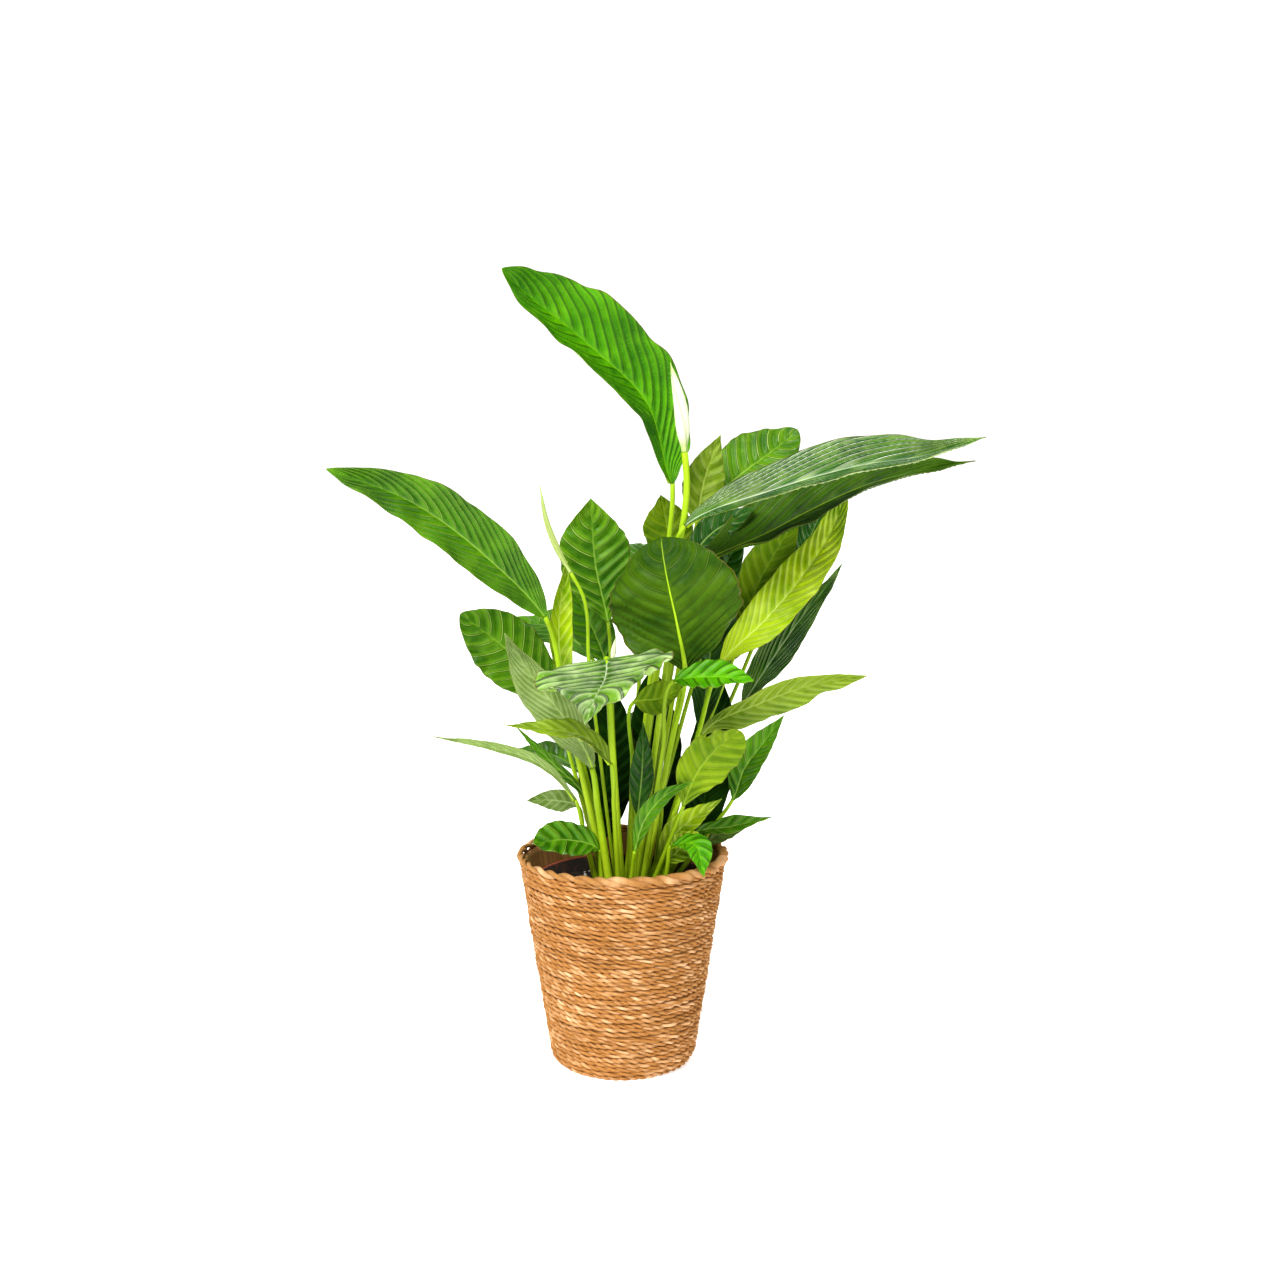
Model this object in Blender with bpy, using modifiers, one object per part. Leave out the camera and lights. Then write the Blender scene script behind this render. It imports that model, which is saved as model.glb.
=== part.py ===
"""A peace lily in a plastic nursery pot, standing in a woven seagrass basket.

The origin is the centre of the basket's underside, +Z is up and -Y is the front. Every leaf is one
solid, a petiole that widens into a blade, and it rises from the soil. The petioles fan out from a
crown point below the soil, so they spread without crossing. The points of the plant are in
millimetres: x to the right, y to the back and z above the basket's rim.
"""

import math
from typing import NamedTuple

import bmesh
import bpy
import numpy as np

MM = 0.001
GAP = 0.0003  # between pieces that touch

# Basket: a tapered woven wall with a thicker rope laid round its mouth
BASKET_HEIGHT = 0.202
RIM_RADIUS = 0.100
ROPE_OVERHANG = 0.0025  # how far the rope stands out from the wall
BASE_RADIUS = 0.0700
BASE_CORNER = 0.014
BASKET_WALL = 0.006
ROPE_WIDTH = 0.009
ROPE_HEIGHT = 0.007
TURNED_STEPS = 40

# Nursery pot: it stands on the basket's floor
POT_DROP = 0.026  # from the basket's rim down to the pot's lip
POT_CLEARANCE = 0.004  # between the pot's lip and the basket's wall
POT_BASE_CLEARANCE = 0.001  # between the pot's base and the turn of the basket's floor
POT_WALL = 0.0016
LIP_WIDTH = 0.003
LIP_HEIGHT = 0.008

# Soil: it fills the pot up to a little below the lip
SOIL_BELOW_LIP = 0.013

# Plant
CROWN_DEPTH_X = 0.060  # how far below the soil the petioles meet, seen from the front
CROWN_DEPTH_Y = 0.100  # and seen from the side
PETIOLE_FOOT_RADIUS = 0.0027
PETIOLE_NECK_RADIUS = 0.0017
BLADE_THICKNESS = 0.0012
TIP_WIDTH = 0.0008
RECEPTACLE = 0.020  # the end of a bloom's stalk that is in line with its spathe
STRAIGHT_SHARE = 0.7  # how much of a petiole rises straight before it bends into the blade
PETIOLE_RINGS = 5
BLADE_RINGS = 9
RING_POINTS = 6

POT_LIP_Z = BASKET_HEIGHT - POT_DROP
SOIL_Z = POT_LIP_Z - SOIL_BELOW_LIP


class Leaf(NamedTuple):
    """A blade's midrib from the neck to the tip, its full width, and the way its upper side faces."""

    midrib: list
    width: float
    face: tuple
    cup: float = 0.12  # how far the midrib lies below the edges, as a share of the half width
    peak: float = 0.42  # where along the blade it is widest
    base: float = 0.75  # how slender it is towards the neck: full below 1
    tip: float = 1.1  # and towards the tip
    foot: tuple = ()  # x and y where it leaves the soil, where the fan would crowd it
    stem: list = []  # points that the petiole passes on its way from the soil
    stout: float = 1.0  # how much thicker its petiole is than the others


def over_rim(bearing, beyond, above):
    """A point in millimetres, placed from the basket's rim: bearing in degrees from +X."""
    radius = RIM_RADIUS / MM + beyond
    turn = math.radians(bearing)
    return radius * math.cos(turn), radius * math.sin(turn), above


LEAVES = {
    "leaf_tall_arching": Leaf(
        [(46, 10, 344), (36, 0, 421), (-20, -20, 480), (-104, -45, 535)],
        76, (0.5, -1, 0.5), cup=0.42, peak=0.55, base=0.6, tip=0.7, foot=(4, 8), stout=1.3
    ),
    "leaf_long_left": Leaf(
        [(-70, -25, 225), (-114, -45, 281), (-186, -65, 337), (-255, -85, 363)],
        56, (-0.3, -1, 0.9), cup=0.2, peak=0.42, base=0.6, tip=0.8, stout=1.3
    ),
    "leaf_round_left": Leaf(
        [(-64, 40, 131), (-106, 50, 179), (-156, 60, 217)],
        62, (-0.2, -1, 0.5), peak=0.55, base=0.7, tip=0.65
    ),
    "leaf_grey_left": Leaf(
        [(-28, -35, 87), (-51, -50, 129), (-81, -60, 173), (-104, -70, 217)],
        44, (-0.5, -1, 0.2), cup=0.2, base=0.8, tip=1.0, foot=(-11, -17), stout=1.6
    ),
    "leaf_hooked_left": Leaf(
        [(-10, -65, 98), (-30, -75, 126), (-64, -85, 136), (-104, -95, 140)],
        30, (-0.2, -0.6, 1), peak=0.35, tip=1.3
    ),
    "leaf_front_drooping": Leaf(
        [(-14, -62, 193), (-17, -98, 192), (-23, -142, 179), (-30, -165, 154)],
        122, (-0.22, -0.3, 1), peak=0.33, base=0.5, tip=1.4, foot=(-1, -19), stout=1.5
    ),
    "leaf_furled": Leaf(
        [(-52, -10, 155), (-56, -14, 203), (-54, -18, 240), (-50, -22, 276)],
        22, (0.3, -1, 0), cup=0.6, peak=0.4, base=0.7, tip=0.9, foot=(-11, 1), stout=1.2
    ),
    "leaf_upright_centre": Leaf(
        [(-14, 22, 214), (-25, 28, 267), (-30, 34, 329)],
        68, (0.1, -1, 0.2), peak=0.55, base=0.9, tip=1.0
    ),
    "leaf_great_round": Leaf(
        [(57, -42, 176), (50, -56, 227), (41, -60, 268), (35, -52, 300)],
        119, (0.1, 1, 0.2), peak=0.55, base=1.1, tip=0.55, foot=(16, -19), stout=1.3
    ),
    "leaf_upright_back": Leaf(
        [(48, 60, 269), (42, 70, 301), (36, 85, 329)],
        48, (0, -1, 0.3), peak=0.48, tip=1.1, foot=(5, 18)
    ),
    "leaf_longest_right": Leaf(
        [(56, -30, 309), (131, -45, 351), (208, -55, 374), (268, -62, 379), (317, -70, 390)],
        56, (-0.2, -0.7, 1), cup=0.3, peak=0.5, tip=1.3, foot=(12, -14), stout=1.2
    ),
    "leaf_second_right": Leaf(
        [(76, -5, 275), (131, 2, 314), (209, 12, 349), (326, 22, 365)],
        66, (-0.4, -0.7, 1), cup=0.35, peak=0.32, tip=1.5, foot=(19, -1), stout=1.2
    ),
    "leaf_rolled_back": Leaf(
        [(79, 60, 318), (111, 72, 352), (141, 85, 373), (168, 98, 391)],
        62, (-0.4, -1, 0.4), peak=0.55, tip=0.6, foot=(16, 10)
    ),
    "leaf_narrow_back": Leaf(
        [(69, 30, 307), (76, 35, 346), (91, 40, 388)],
        38, (0, -1, 0.2), peak=0.4, tip=1.1, foot=(11, 13)
    ),
    "leaf_right_pale": Leaf(
        [(111, 45, 194), (127, 55, 247), (148, 62, 283), (168, 70, 314)],
        44, (-0.4, -1, 0.2), peak=0.5, tip=0.8
    ),
    "leaf_right_dark": Leaf(
        [(142, 82, 218), (169, 92, 265), (186, 102, 299), (198, 110, 325)],
        32, (-0.5, -1, 0.2), peak=0.6, tip=0.8
    ),
    "leaf_right_broad": Leaf(
        [(91, 10, 176), (134, 20, 220), (172, 32, 264), (197, 42, 302), (212, 50, 342)],
        46, (-0.5, -1, 0.2), peak=0.4, base=0.7, tip=0.9, foot=(24, 4), stout=1.2
    ),
    "leaf_right_twisted": Leaf(
        [(115, 70, 125), (145, 88, 170), (179, 102, 215), (202, 108, 241), (215, 115, 259)],
        34, (-0.5, -1, 0.3), peak=0.4, tip=1.1, foot=(33, 27)
    ),
    "leaf_low_right": Leaf(
        [(73, -30, 117), (125, -45, 146), (176, -55, 167), (219, -60, 177)],
        40, (0.3, -1, -0.6), peak=0.4, tip=0.9
    ),
    "leaf_curled_right": Leaf(
        [(104, 20, 44), (114, 24, 73), (134, 30, 99), (153, 35, 123)],
        30, (-0.6, -1, 0), peak=0.35, tip=1.0
    ),
    "leaf_small_round": Leaf(
        [(55, -62, 58), (70, -72, 92), (87, -80, 114), (105, -88, 132)],
        50, (0.2, -1, -0.3), peak=0.6, base=0.9, tip=0.5, foot=(22, -29)
    ),
    "leaf_folded_right": Leaf(
        [(67, 5, 15), (103, 0, 25), (140, -5, 34)],
        20, (0, -0.7, 1), tip=1.2
    ),
    "leaf_pale_over_rim": Leaf(
        [(76, 22, -1), (94, 20, 13), (111, 20, 20), (129, 20, 27)],
        20, (-0.4, -1, 0.5), foot=(44, 22)
    ),
    "leaf_light_low": Leaf(
        [(35, -24, -5), (49, -30, 26), (69, -32, 43), (91, -34, 58)],
        24, (-0.5, -1, 0.3), foot=(30, -16)
    ),
    "leaf_bright_low": Leaf(
        [(40, -38, -1), (51, -42, 12), (69, -44, 29)],
        26, (-0.4, -1, 0.3), peak=0.55, base=0.6, tip=0.7, foot=(31, -28)
    ),
    "leaf_over_rim": Leaf(
        [over_rim(-50, -32, 18), over_rim(-45, -8, 26), over_rim(-50, 14, 0)],
        28, (0, -0.4, 1), foot=(37, -35)
    ),
    "leaf_thin_left": Leaf(
        [(-44, -10, 51), (-75, -20, 88), (-122, -30, 107), (-172, -40, 118)],
        12, (-0.2, -0.8, 1), foot=(-22, -6)
    ),
    "leaf_strip_left": Leaf(
        [(-35, 10, 46), (-68, 5, 84), (-99, 0, 118)],
        11, (-0.6, -1, 0.4), foot=(-19, 3)
    ),
    "leaf_small_grey": Leaf(
        [(-43, 15, 39), (-64, 20, 44), (-92, 25, 42)],
        22, (0, -1, 0.6), peak=0.35, tip=1.1, foot=(-25, 10)
    ),
    "leaf_striped_low": Leaf(
        [(-22, -20, 6), (-49, -32, 21), (-81, -50, 21)],
        38, (0, -1, 1), peak=0.55, base=0.6, tip=0.7, foot=(-19, -17)
    ),
    "leaf_pale_centre": Leaf(
        [(10, -22, 146), (31, -38, 153), (57, -55, 169)],
        30, (-0.2, -1, 0.5), foot=(6, -12)
    ),
    "leaf_flat_front": Leaf(
        [(46, -65, 174), (80, -80, 183), (115, -100, 180)],
        38, (0, -0.7, 1), tip=1.0, foot=(16, -27)
    ),
    "leaf_dark_centre": Leaf(
        [(14, -38, 43), (18, -38, 86), (19, -38, 130)],
        22, (0, -1, 0), foot=(9, -24)
    ),
    "leaf_low_centre": Leaf(
        [(11, -55, 14), (19, -62, 45), (36, -68, 68), (63, -75, 84)],
        18, (-0.5, -1, 0.3)
    ),
    "leaf_dark_upright": Leaf(
        [(-16, 45, 170), (-30, 50, 207), (-49, 55, 244)],
        40, (0.2, -1, 0), peak=0.5
    ),
    "leaf_inner_centre": Leaf(
        [(28, 36, 2), (30, 42, 78), (28, 48, 162)],
        50, (0, -1, 0.1), cup=0.02, peak=0.5, base=0.5, tip=0.55, foot=(11, 33)
    ),
    "leaf_inner_left": Leaf(
        [(-19, 25, 5), (-16, 33, 70), (-15, 45, 147)],
        54, (0, -1, 0.1), cup=0.02, peak=0.5, base=0.5, tip=0.55, foot=(-13, 22)
    ),
    "leaf_inner_right": Leaf(
        [(66, 28, 0), (81, 33, 60), (94, 43, 155)],
        48, (0, -1, 0.1), peak=0.5, base=0.6, tip=0.8, foot=(32, 19)
    ),
    "leaf_inner_high": Leaf(
        [(72, 20, 112), (84, 27, 206), (97, 35, 309)],
        43, (-0.2, -1, 0.1), peak=0.5, base=0.7, tip=0.9, foot=(30, 10)
    ),
    "leaf_inner_upper": Leaf(
        [(76, 14, 198), (85, 14, 250), (112, 12, 297)],
        40, (-0.2, -1, 0.1), peak=0.5, base=0.7, tip=0.9, foot=(12, 4)
    ),
    "leaf_dark_top": Leaf(
        [(60, 12, 271), (77, 16, 295), (124, 18, 323)],
        30, (-0.3, -1, 0.5), peak=0.45, tip=1.0, foot=(8, -3)
    ),
    "leaf_rear_high": Leaf([(20, 90, 230), (25, 150, 270), (30, 215, 270)], 74, (0, -0.2, 1)),
    "leaf_rear_left": Leaf([(-30, 80, 170), (-75, 130, 200), (-125, 180, 190)], 66, (-0.2, -0.2, 1)),
    "leaf_rear_right": Leaf(
        [(60, 85, 150), (95, 140, 180), (130, 195, 170)], 66, (0.2, -0.2, 1), foot=(20, 33)
    ),
    "leaf_rear_low": Leaf([(10, 75, 80), (5, 120, 105), (-5, 170, 95)], 54, (0, -0.2, 1)),
    "leaf_rear_low_left": Leaf([(-40, 60, 60), (-80, 90, 80), (-120, 115, 70)], 44, (-0.2, 0, 1)),
    "leaf_rear_low_right": Leaf(
        [(60, 60, 50), (95, 90, 68), (130, 115, 55)], 44, (0.2, 0, 1), foot=(26, 33)
    ),
}


class Bloom(NamedTuple):
    """A stalk from the soil with a closed spathe on its end, from the spathe's base to its tip."""

    spathe: list
    width: float
    foot: tuple = ()
    stalk_radius: float = 0.0017
    stem: list = []


BLOOMS = {
    "bloom_tall": Bloom([(56, -24, 375), (52, -26, 416), (43, -28, 454)], 13, (1, 0), 0.003),
    "bloom_faded": Bloom(
        [(-47, -24, 266), (-57, -25, 284), (-68, -26, 312), (-74, -26, 345)],
        6, (-6, -5), stem=[(-31, -15, 183)]
    ),
    "bud_low": Bloom([(36, -14, 57), (36, -14, 75), (37, -14, 97)], 6, (27, -7)),
    "bud_centre": Bloom([(-9, -25, 184), (-8, -25, 195), (-6, -25, 207)], 5, (-4, -10)),
}


# ---- Curves and frames ------------------------------------------------------------------------


def curve_through(points, count):
    """A smooth curve through the points, as count points at equal steps of arc length."""
    points = np.array(points, float)
    steps = np.linalg.norm(np.diff(points, axis=0), axis=1)
    slopes = np.diff(points, axis=0) / steps[:, None]
    tangents = np.empty_like(points)
    tangents[0], tangents[-1] = slopes[0], slopes[-1]
    weights = (steps[1:] / (steps[1:] + steps[:-1]))[:, None]
    tangents[1:-1] = slopes[:-1] * weights + slopes[1:] * (1 - weights)
    dense = []
    for k, step in enumerate(steps):
        t = np.linspace(0, 1, 24, endpoint=False)[:, None]
        dense.append(
            points[k] * (2 * t**3 - 3 * t**2 + 1)
            + points[k + 1] * (3 * t**2 - 2 * t**3)
            + tangents[k] * step * (t**3 - 2 * t**2 + t)
            + tangents[k + 1] * step * (t**3 - t**2)
        )
    dense = np.vstack(dense + [points[-1:]])
    along = np.concatenate([[0], np.cumsum(np.linalg.norm(np.diff(dense, axis=0), axis=1))])
    wanted = np.linspace(0, along[-1], count)
    return np.stack([np.interp(wanted, along, dense[:, axis]) for axis in range(3)], axis=1)


def unit(vector):
    return vector / np.linalg.norm(vector)


def frames_along(line, face, at):
    """Side and normal vectors at each point, facing as given at one point and turning least."""
    tangents = np.gradient(line, axis=0)
    tangents /= np.linalg.norm(tangents, axis=1)[:, None]
    normals = np.empty_like(line)
    facing = np.array(face, float)
    normals[at] = unit(facing - tangents[at] * (facing @ tangents[at]))
    for step, stop in ((1, len(line)), (-1, -1)):
        for k in range(at + step, stop, step):
            carried = normals[k - step]
            normals[k] = unit(carried - tangents[k] * (carried @ tangents[k]))
    return np.cross(tangents, normals), normals


# ---- Solids -----------------------------------------------------------------------------------


def loft(name, line, sides, normals, half_widths, half_depths, cups, standing=True):
    """A closed solid from six-sided rings: cupped in a blade, round in a stem, level at the soil."""
    across = np.array([-1, -0.5, 0.5, 1, 0.5, -0.5])
    upward = np.array([0, 1, 1, 0, -1, -1])
    inner = np.array([0, 1, 1, 0, 1, 1])
    mesh = bmesh.new()
    rings = []
    for k, centre in enumerate(line):
        out = across * half_widths[k]
        up = upward * half_depths[k] - inner * cups[k] * half_widths[k]
        ring = centre + out[:, None] * sides[k] + up[:, None] * normals[k]
        if k == 0 and standing:
            ring[:, 2] = centre[2]
        rings.append([mesh.verts.new(point) for point in ring])
    for low, high in zip(rings, rings[1:]):
        for k in range(RING_POINTS):
            after = (k + 1) % RING_POINTS
            mesh.faces.new((low[k], low[after], high[after], high[k]))
    mesh.faces.new(rings[0][::-1])
    mesh.faces.new(rings[-1])
    bmesh.ops.recalc_face_normals(mesh, faces=mesh.faces)
    data = bpy.data.meshes.new(name)
    mesh.to_mesh(data)
    mesh.free()
    data.shade_smooth()
    return bpy.data.objects.new(name, data)


def on_rim(point):
    """A plant point, given in millimetres above the rim, in metres above the ground."""
    x, y, z = point
    return np.array([x * MM, y * MM, BASKET_HEIGHT + z * MM])


def foot_of(plan, top):
    """Where a stem leaves the soil: as planned, or on the straight line from its top to the crown."""
    if plan:
        return np.array([plan[0] * MM, plan[1] * MM, SOIL_Z + GAP])
    rise = top[2] - SOIL_Z
    share_x = CROWN_DEPTH_X / (rise + CROWN_DEPTH_X)
    share_y = CROWN_DEPTH_Y / (rise + CROWN_DEPTH_Y)
    return np.array([top[0] * share_x, top[1] * share_y, SOIL_Z + GAP])


def blade_share(t, peak, base, tip):
    """A blade's width at t along it, from 0 at both ends to 1 at its widest."""
    rising = np.sin(np.clip(t / peak, 0, 1) * math.pi / 2) ** base
    falling = np.cos(np.clip((t - peak) / (1 - peak), 0, 1) * math.pi / 2) ** tip
    return rising * falling


def stem_points(piece, top):
    """The points of a stem below its top: its foot, then its own points or a nearly straight rise."""
    foot = foot_of(piece.foot, top)
    if piece.stem:
        return [foot, *(on_rim(point) for point in piece.stem)]
    return [foot, foot + (top - foot) * STRAIGHT_SHARE]


def make_leaf(name, leaf):
    midrib = [on_rim(point) for point in leaf.midrib]
    dense = curve_through(stem_points(leaf, midrib[0]) + midrib, 400)
    neck = int(np.argmin(np.linalg.norm(dense - midrib[0], axis=1)))
    middle = neck + (len(dense) - neck) // 2
    sides, normals = frames_along(dense, leaf.face, middle)
    stem_at = np.linspace(0, neck, PETIOLE_RINGS, endpoint=False)
    blade_at = np.linspace(neck, len(dense) - 1, BLADE_RINGS + 1)
    at = np.rint(np.concatenate([stem_at, blade_at])).astype(int)
    t = np.clip((at - neck) / (len(dense) - 1 - neck), 0, 1)
    stem_share = np.clip(at / neck, 0, 1)
    radius = PETIOLE_FOOT_RADIUS + (PETIOLE_NECK_RADIUS - PETIOLE_FOOT_RADIUS) * stem_share
    radius = radius * leaf.stout
    blade = blade_share(t, leaf.peak, leaf.base, leaf.tip) * leaf.width * MM / 2
    half_widths = np.where(t < 0.5, np.maximum(blade, radius), np.maximum(blade, TIP_WIDTH / 2))
    in_blade = np.clip(t / 0.2, 0, 1)
    round_depth = radius * math.sin(math.radians(60))
    half_depths = round_depth + (BLADE_THICKNESS / 2 - round_depth) * in_blade
    cups = leaf.cup * in_blade
    return loft(name, dense[at], sides[at], normals[at], half_widths, half_depths, cups)


def make_round(name, line, radii, standing):
    """A round solid along a line, six-sided, with its own radius at each point."""
    sides, normals = frames_along(line, (0, -1, 0.1), len(line) // 2)
    depths = radii * math.sin(math.radians(60))
    return loft(name, line, sides, normals, radii, depths, np.zeros(len(line)), standing)


def make_bloom(name, bloom):
    spathe = [on_rim(point) for point in bloom.spathe]
    heading = unit(spathe[1] - spathe[0])
    top = [spathe[0] - heading * RECEPTACLE, spathe[0] - heading * GAP]
    stalk = curve_through(stem_points(bloom, top[0]) + top, PETIOLE_RINGS + 2)
    stalk_radii = np.full(len(stalk), bloom.stalk_radius)
    line = curve_through(spathe, BLADE_RINGS)
    share = blade_share(np.linspace(0, 1, BLADE_RINGS), 0.35, 0.6, 0.9)
    ends = np.linspace(bloom.stalk_radius, TIP_WIDTH / 2, BLADE_RINGS)
    spathe_radii = np.maximum(share * bloom.width * MM / 2, ends)
    return [
        make_round(name + "_stalk", stalk, stalk_radii, True),
        make_round(name + "_spathe", line, spathe_radii, False),
    ]


def turned(name, profile):
    """A round piece from its half section, which runs down its outer side."""
    data = bpy.data.meshes.new(name)
    edges = [(k, k + 1) for k in range(len(profile) - 1)]
    data.from_pydata([(radius, 0, z) for radius, z in profile], edges, [])
    piece = bpy.data.objects.new(name, data)
    screw = piece.modifiers.new("Screw", "SCREW")
    screw.axis = "Z"
    screw.steps = TURNED_STEPS
    screw.render_steps = TURNED_STEPS
    screw.use_merge_vertices = True
    screw.merge_threshold = 0.00001
    screw.use_smooth_shade = True
    return piece


def basket_outline():
    """The basket's outer side from its mouth down to the floor, as (radius, z)."""
    outline = [(RIM_RADIUS - ROPE_OVERHANG, BASKET_HEIGHT - ROPE_HEIGHT - GAP)]
    for turn in np.radians([0, 30, 60, 90]):
        radius = BASE_RADIUS - BASE_CORNER * (1 - math.cos(turn))
        outline.append((radius, BASE_CORNER * (1 - math.sin(turn))))
    return outline


def basket_radius(z):
    """The outer radius of the basket's wall at a height."""
    outline = basket_outline()[::-1]
    return float(np.interp(z, [point[1] for point in outline], [point[0] for point in outline]))


def make_basket():
    outline = basket_outline()
    inside = [(max(radius - BASKET_WALL, 0), z) for radius, z in outline if z > BASKET_WALL]
    floor = [(0, BASKET_WALL), (basket_radius(BASKET_WALL) - BASKET_WALL, BASKET_WALL)]
    return turned("seagrass_basket", floor + inside[::-1] + outline + [(0, 0)])


def make_rope_rim():
    bpy.ops.mesh.primitive_torus_add(
        major_radius=RIM_RADIUS - ROPE_WIDTH / 2,
        minor_radius=ROPE_WIDTH / 2,
        major_segments=TURNED_STEPS,
        minor_segments=8,
        location=(0, 0, BASKET_HEIGHT - ROPE_HEIGHT / 2),
    )
    rim = bpy.context.object
    rim.name = "basket_rope_rim"
    for vertex in rim.data.vertices:
        vertex.co.z *= ROPE_HEIGHT / ROPE_WIDTH
    rim.data.shade_smooth()
    return rim


def pot_outline():
    """The pot's outer side from under its lip to its base, as (radius, z)."""
    lip = basket_radius(POT_LIP_Z) - BASKET_WALL - POT_CLEARANCE
    wall_top = lip - LIP_WIDTH + POT_WALL
    base = BASE_RADIUS - BASE_CORNER - POT_BASE_CLEARANCE
    return lip, [(wall_top, POT_LIP_Z - LIP_HEIGHT), (base, BASKET_WALL + GAP)]


def make_pot():
    lip, (top, base) = pot_outline()
    floor_z = base[1] + POT_WALL
    inside = [(0, floor_z), (base[0] - POT_WALL, floor_z), (top[0] - POT_WALL, POT_LIP_Z)]
    outside = [(lip, POT_LIP_Z), (lip, top[1]), top, base, (0, base[1])]
    return turned("nursery_pot", inside + outside)


def make_soil():
    _, (top, base) = pot_outline()
    floor_z = base[1] + POT_WALL
    inner_base = base[0] - POT_WALL - GAP
    inner_top = top[0] - POT_WALL - GAP
    share = (SOIL_Z - floor_z) / (POT_LIP_Z - floor_z)
    surface = inner_base + (inner_top - inner_base) * share
    profile = [(0, SOIL_Z), (surface, SOIL_Z), (inner_base, floor_z + GAP), (0, floor_z + GAP)]
    return turned("potting_soil", profile)


# ---- Materials and assembly -------------------------------------------------------------------

COLOURS = {
    "leaf": ((0.10, 0.30, 0.03), 0.35),
    "young_leaf": ((0.36, 0.55, 0.06), 0.35),
    "grey_leaf": ((0.33, 0.45, 0.20), 0.55),
    "stalk": ((0.38, 0.56, 0.10), 0.4),
    "spathe": ((0.86, 0.88, 0.74), 0.5),
    "seagrass": ((0.60, 0.36, 0.15), 0.85),
    "pot": ((0.25, 0.07, 0.03), 0.5),
    "soil": ((0.03, 0.02, 0.015), 0.95),
}
YOUNG_LEAVES = (
    "leaf_furled",
    "leaf_narrow_back",
    "leaf_right_pale",
    "leaf_right_broad",
    "leaf_small_round",
    "leaf_light_low",
    "leaf_bright_low",
)
GREY_LEAVES = ("leaf_grey_left", "leaf_small_grey", "leaf_pale_over_rim")


def finish(piece, colour):
    """Gives a piece its own material."""
    shade, roughness = COLOURS[colour]
    material = bpy.data.materials.new(piece.name + "_material")
    material.use_nodes = True
    shader = material.node_tree.nodes["Principled BSDF"]
    shader.inputs["Base Color"].default_value = (*shade, 1)
    shader.inputs["Roughness"].default_value = roughness
    shader.inputs["Metallic"].default_value = 0
    material.diffuse_color = (*shade, 1)
    piece.data.materials.append(material)
    return piece


def leaf_colour(name):
    if name in YOUNG_LEAVES:
        return "young_leaf"
    if name in GREY_LEAVES:
        return "grey_leaf"
    return "leaf"


def main():
    for old in list(bpy.data.objects):
        bpy.data.objects.remove(old, do_unlink=True)
    pieces = [
        finish(make_basket(), "seagrass"),
        finish(make_rope_rim(), "seagrass"),
        finish(make_pot(), "pot"),
        finish(make_soil(), "soil"),
    ]
    for name, leaf in LEAVES.items():
        pieces.append(finish(make_leaf(name, leaf), leaf_colour(name)))
    for name, bloom in BLOOMS.items():
        stalk, spathe = make_bloom(name, bloom)
        pieces += [finish(stalk, "stalk"), finish(spathe, "spathe")]
    collection = bpy.data.collections.new("peace_lily_in_basket")
    bpy.context.scene.collection.children.link(collection)
    for piece in pieces:
        for holder in list(piece.users_collection):
            holder.objects.unlink(piece)
        collection.objects.link(piece)


main()
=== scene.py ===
"""The looks of a peace lily in a woven basket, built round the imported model.

The frame gives the basket, pot and soil their places. Each leaf follows the same midrib as its solid,
with ribbed blades, waved edges, petioles and colours of its own, and the basket is laid up from
twisted two-ply seagrass cords. Points of the plant are in millimetres, with z above the rim.
"""

import math
from typing import NamedTuple

import bpy
import numpy as np
from mathutils import Euler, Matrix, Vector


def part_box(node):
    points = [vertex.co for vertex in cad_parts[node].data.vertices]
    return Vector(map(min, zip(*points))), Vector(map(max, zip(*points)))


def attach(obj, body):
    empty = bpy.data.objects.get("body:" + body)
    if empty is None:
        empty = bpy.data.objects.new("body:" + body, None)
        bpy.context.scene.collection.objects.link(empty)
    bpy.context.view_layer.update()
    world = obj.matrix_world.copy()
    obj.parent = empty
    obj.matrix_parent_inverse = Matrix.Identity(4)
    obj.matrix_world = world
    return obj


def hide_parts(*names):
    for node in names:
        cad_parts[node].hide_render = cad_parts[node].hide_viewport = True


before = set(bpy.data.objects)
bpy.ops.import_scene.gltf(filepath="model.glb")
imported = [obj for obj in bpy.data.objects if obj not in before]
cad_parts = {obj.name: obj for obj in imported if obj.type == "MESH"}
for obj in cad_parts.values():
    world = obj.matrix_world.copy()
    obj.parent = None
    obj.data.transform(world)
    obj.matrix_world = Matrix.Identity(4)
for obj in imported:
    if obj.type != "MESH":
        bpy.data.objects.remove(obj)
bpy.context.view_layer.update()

MM = 0.001
BODY = "root"

# ---- Places read from the frame ---------------------------------------------------------------

BASKET_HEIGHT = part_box("basket_rope_rim")[1].z
RIM_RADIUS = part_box("basket_rope_rim")[1].x
ROPE_HEIGHT = BASKET_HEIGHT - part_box("basket_rope_rim")[0].z
WALL_TOP_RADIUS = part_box("seagrass_basket")[1].x
WALL_TOP_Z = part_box("seagrass_basket")[1].z
POT_LIP_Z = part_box("nursery_pot")[1].z
POT_LIP_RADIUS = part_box("nursery_pot")[1].x
POT_BASE_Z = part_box("nursery_pot")[0].z
SOIL_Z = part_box("potting_soil")[1].z
SOIL_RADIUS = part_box("potting_soil")[1].x

# Sizes that the solids share with these looks
BASE_RADIUS = 0.0700
BASE_CORNER = 0.014
CROWN_DEPTH_X = 0.060
CROWN_DEPTH_Y = 0.100
STRAIGHT_SHARE = 0.7
PETIOLE_FOOT_RADIUS = 0.0027
PETIOLE_NECK_RADIUS = 0.0017
TIP_WIDTH = 0.0008
RECEPTACLE = 0.020
GAP = 0.0003

# Leaf detail
BLADE_THICKNESS = 0.0007
STEM_ROWS = 40
TUBE_SIDES = 10


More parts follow.
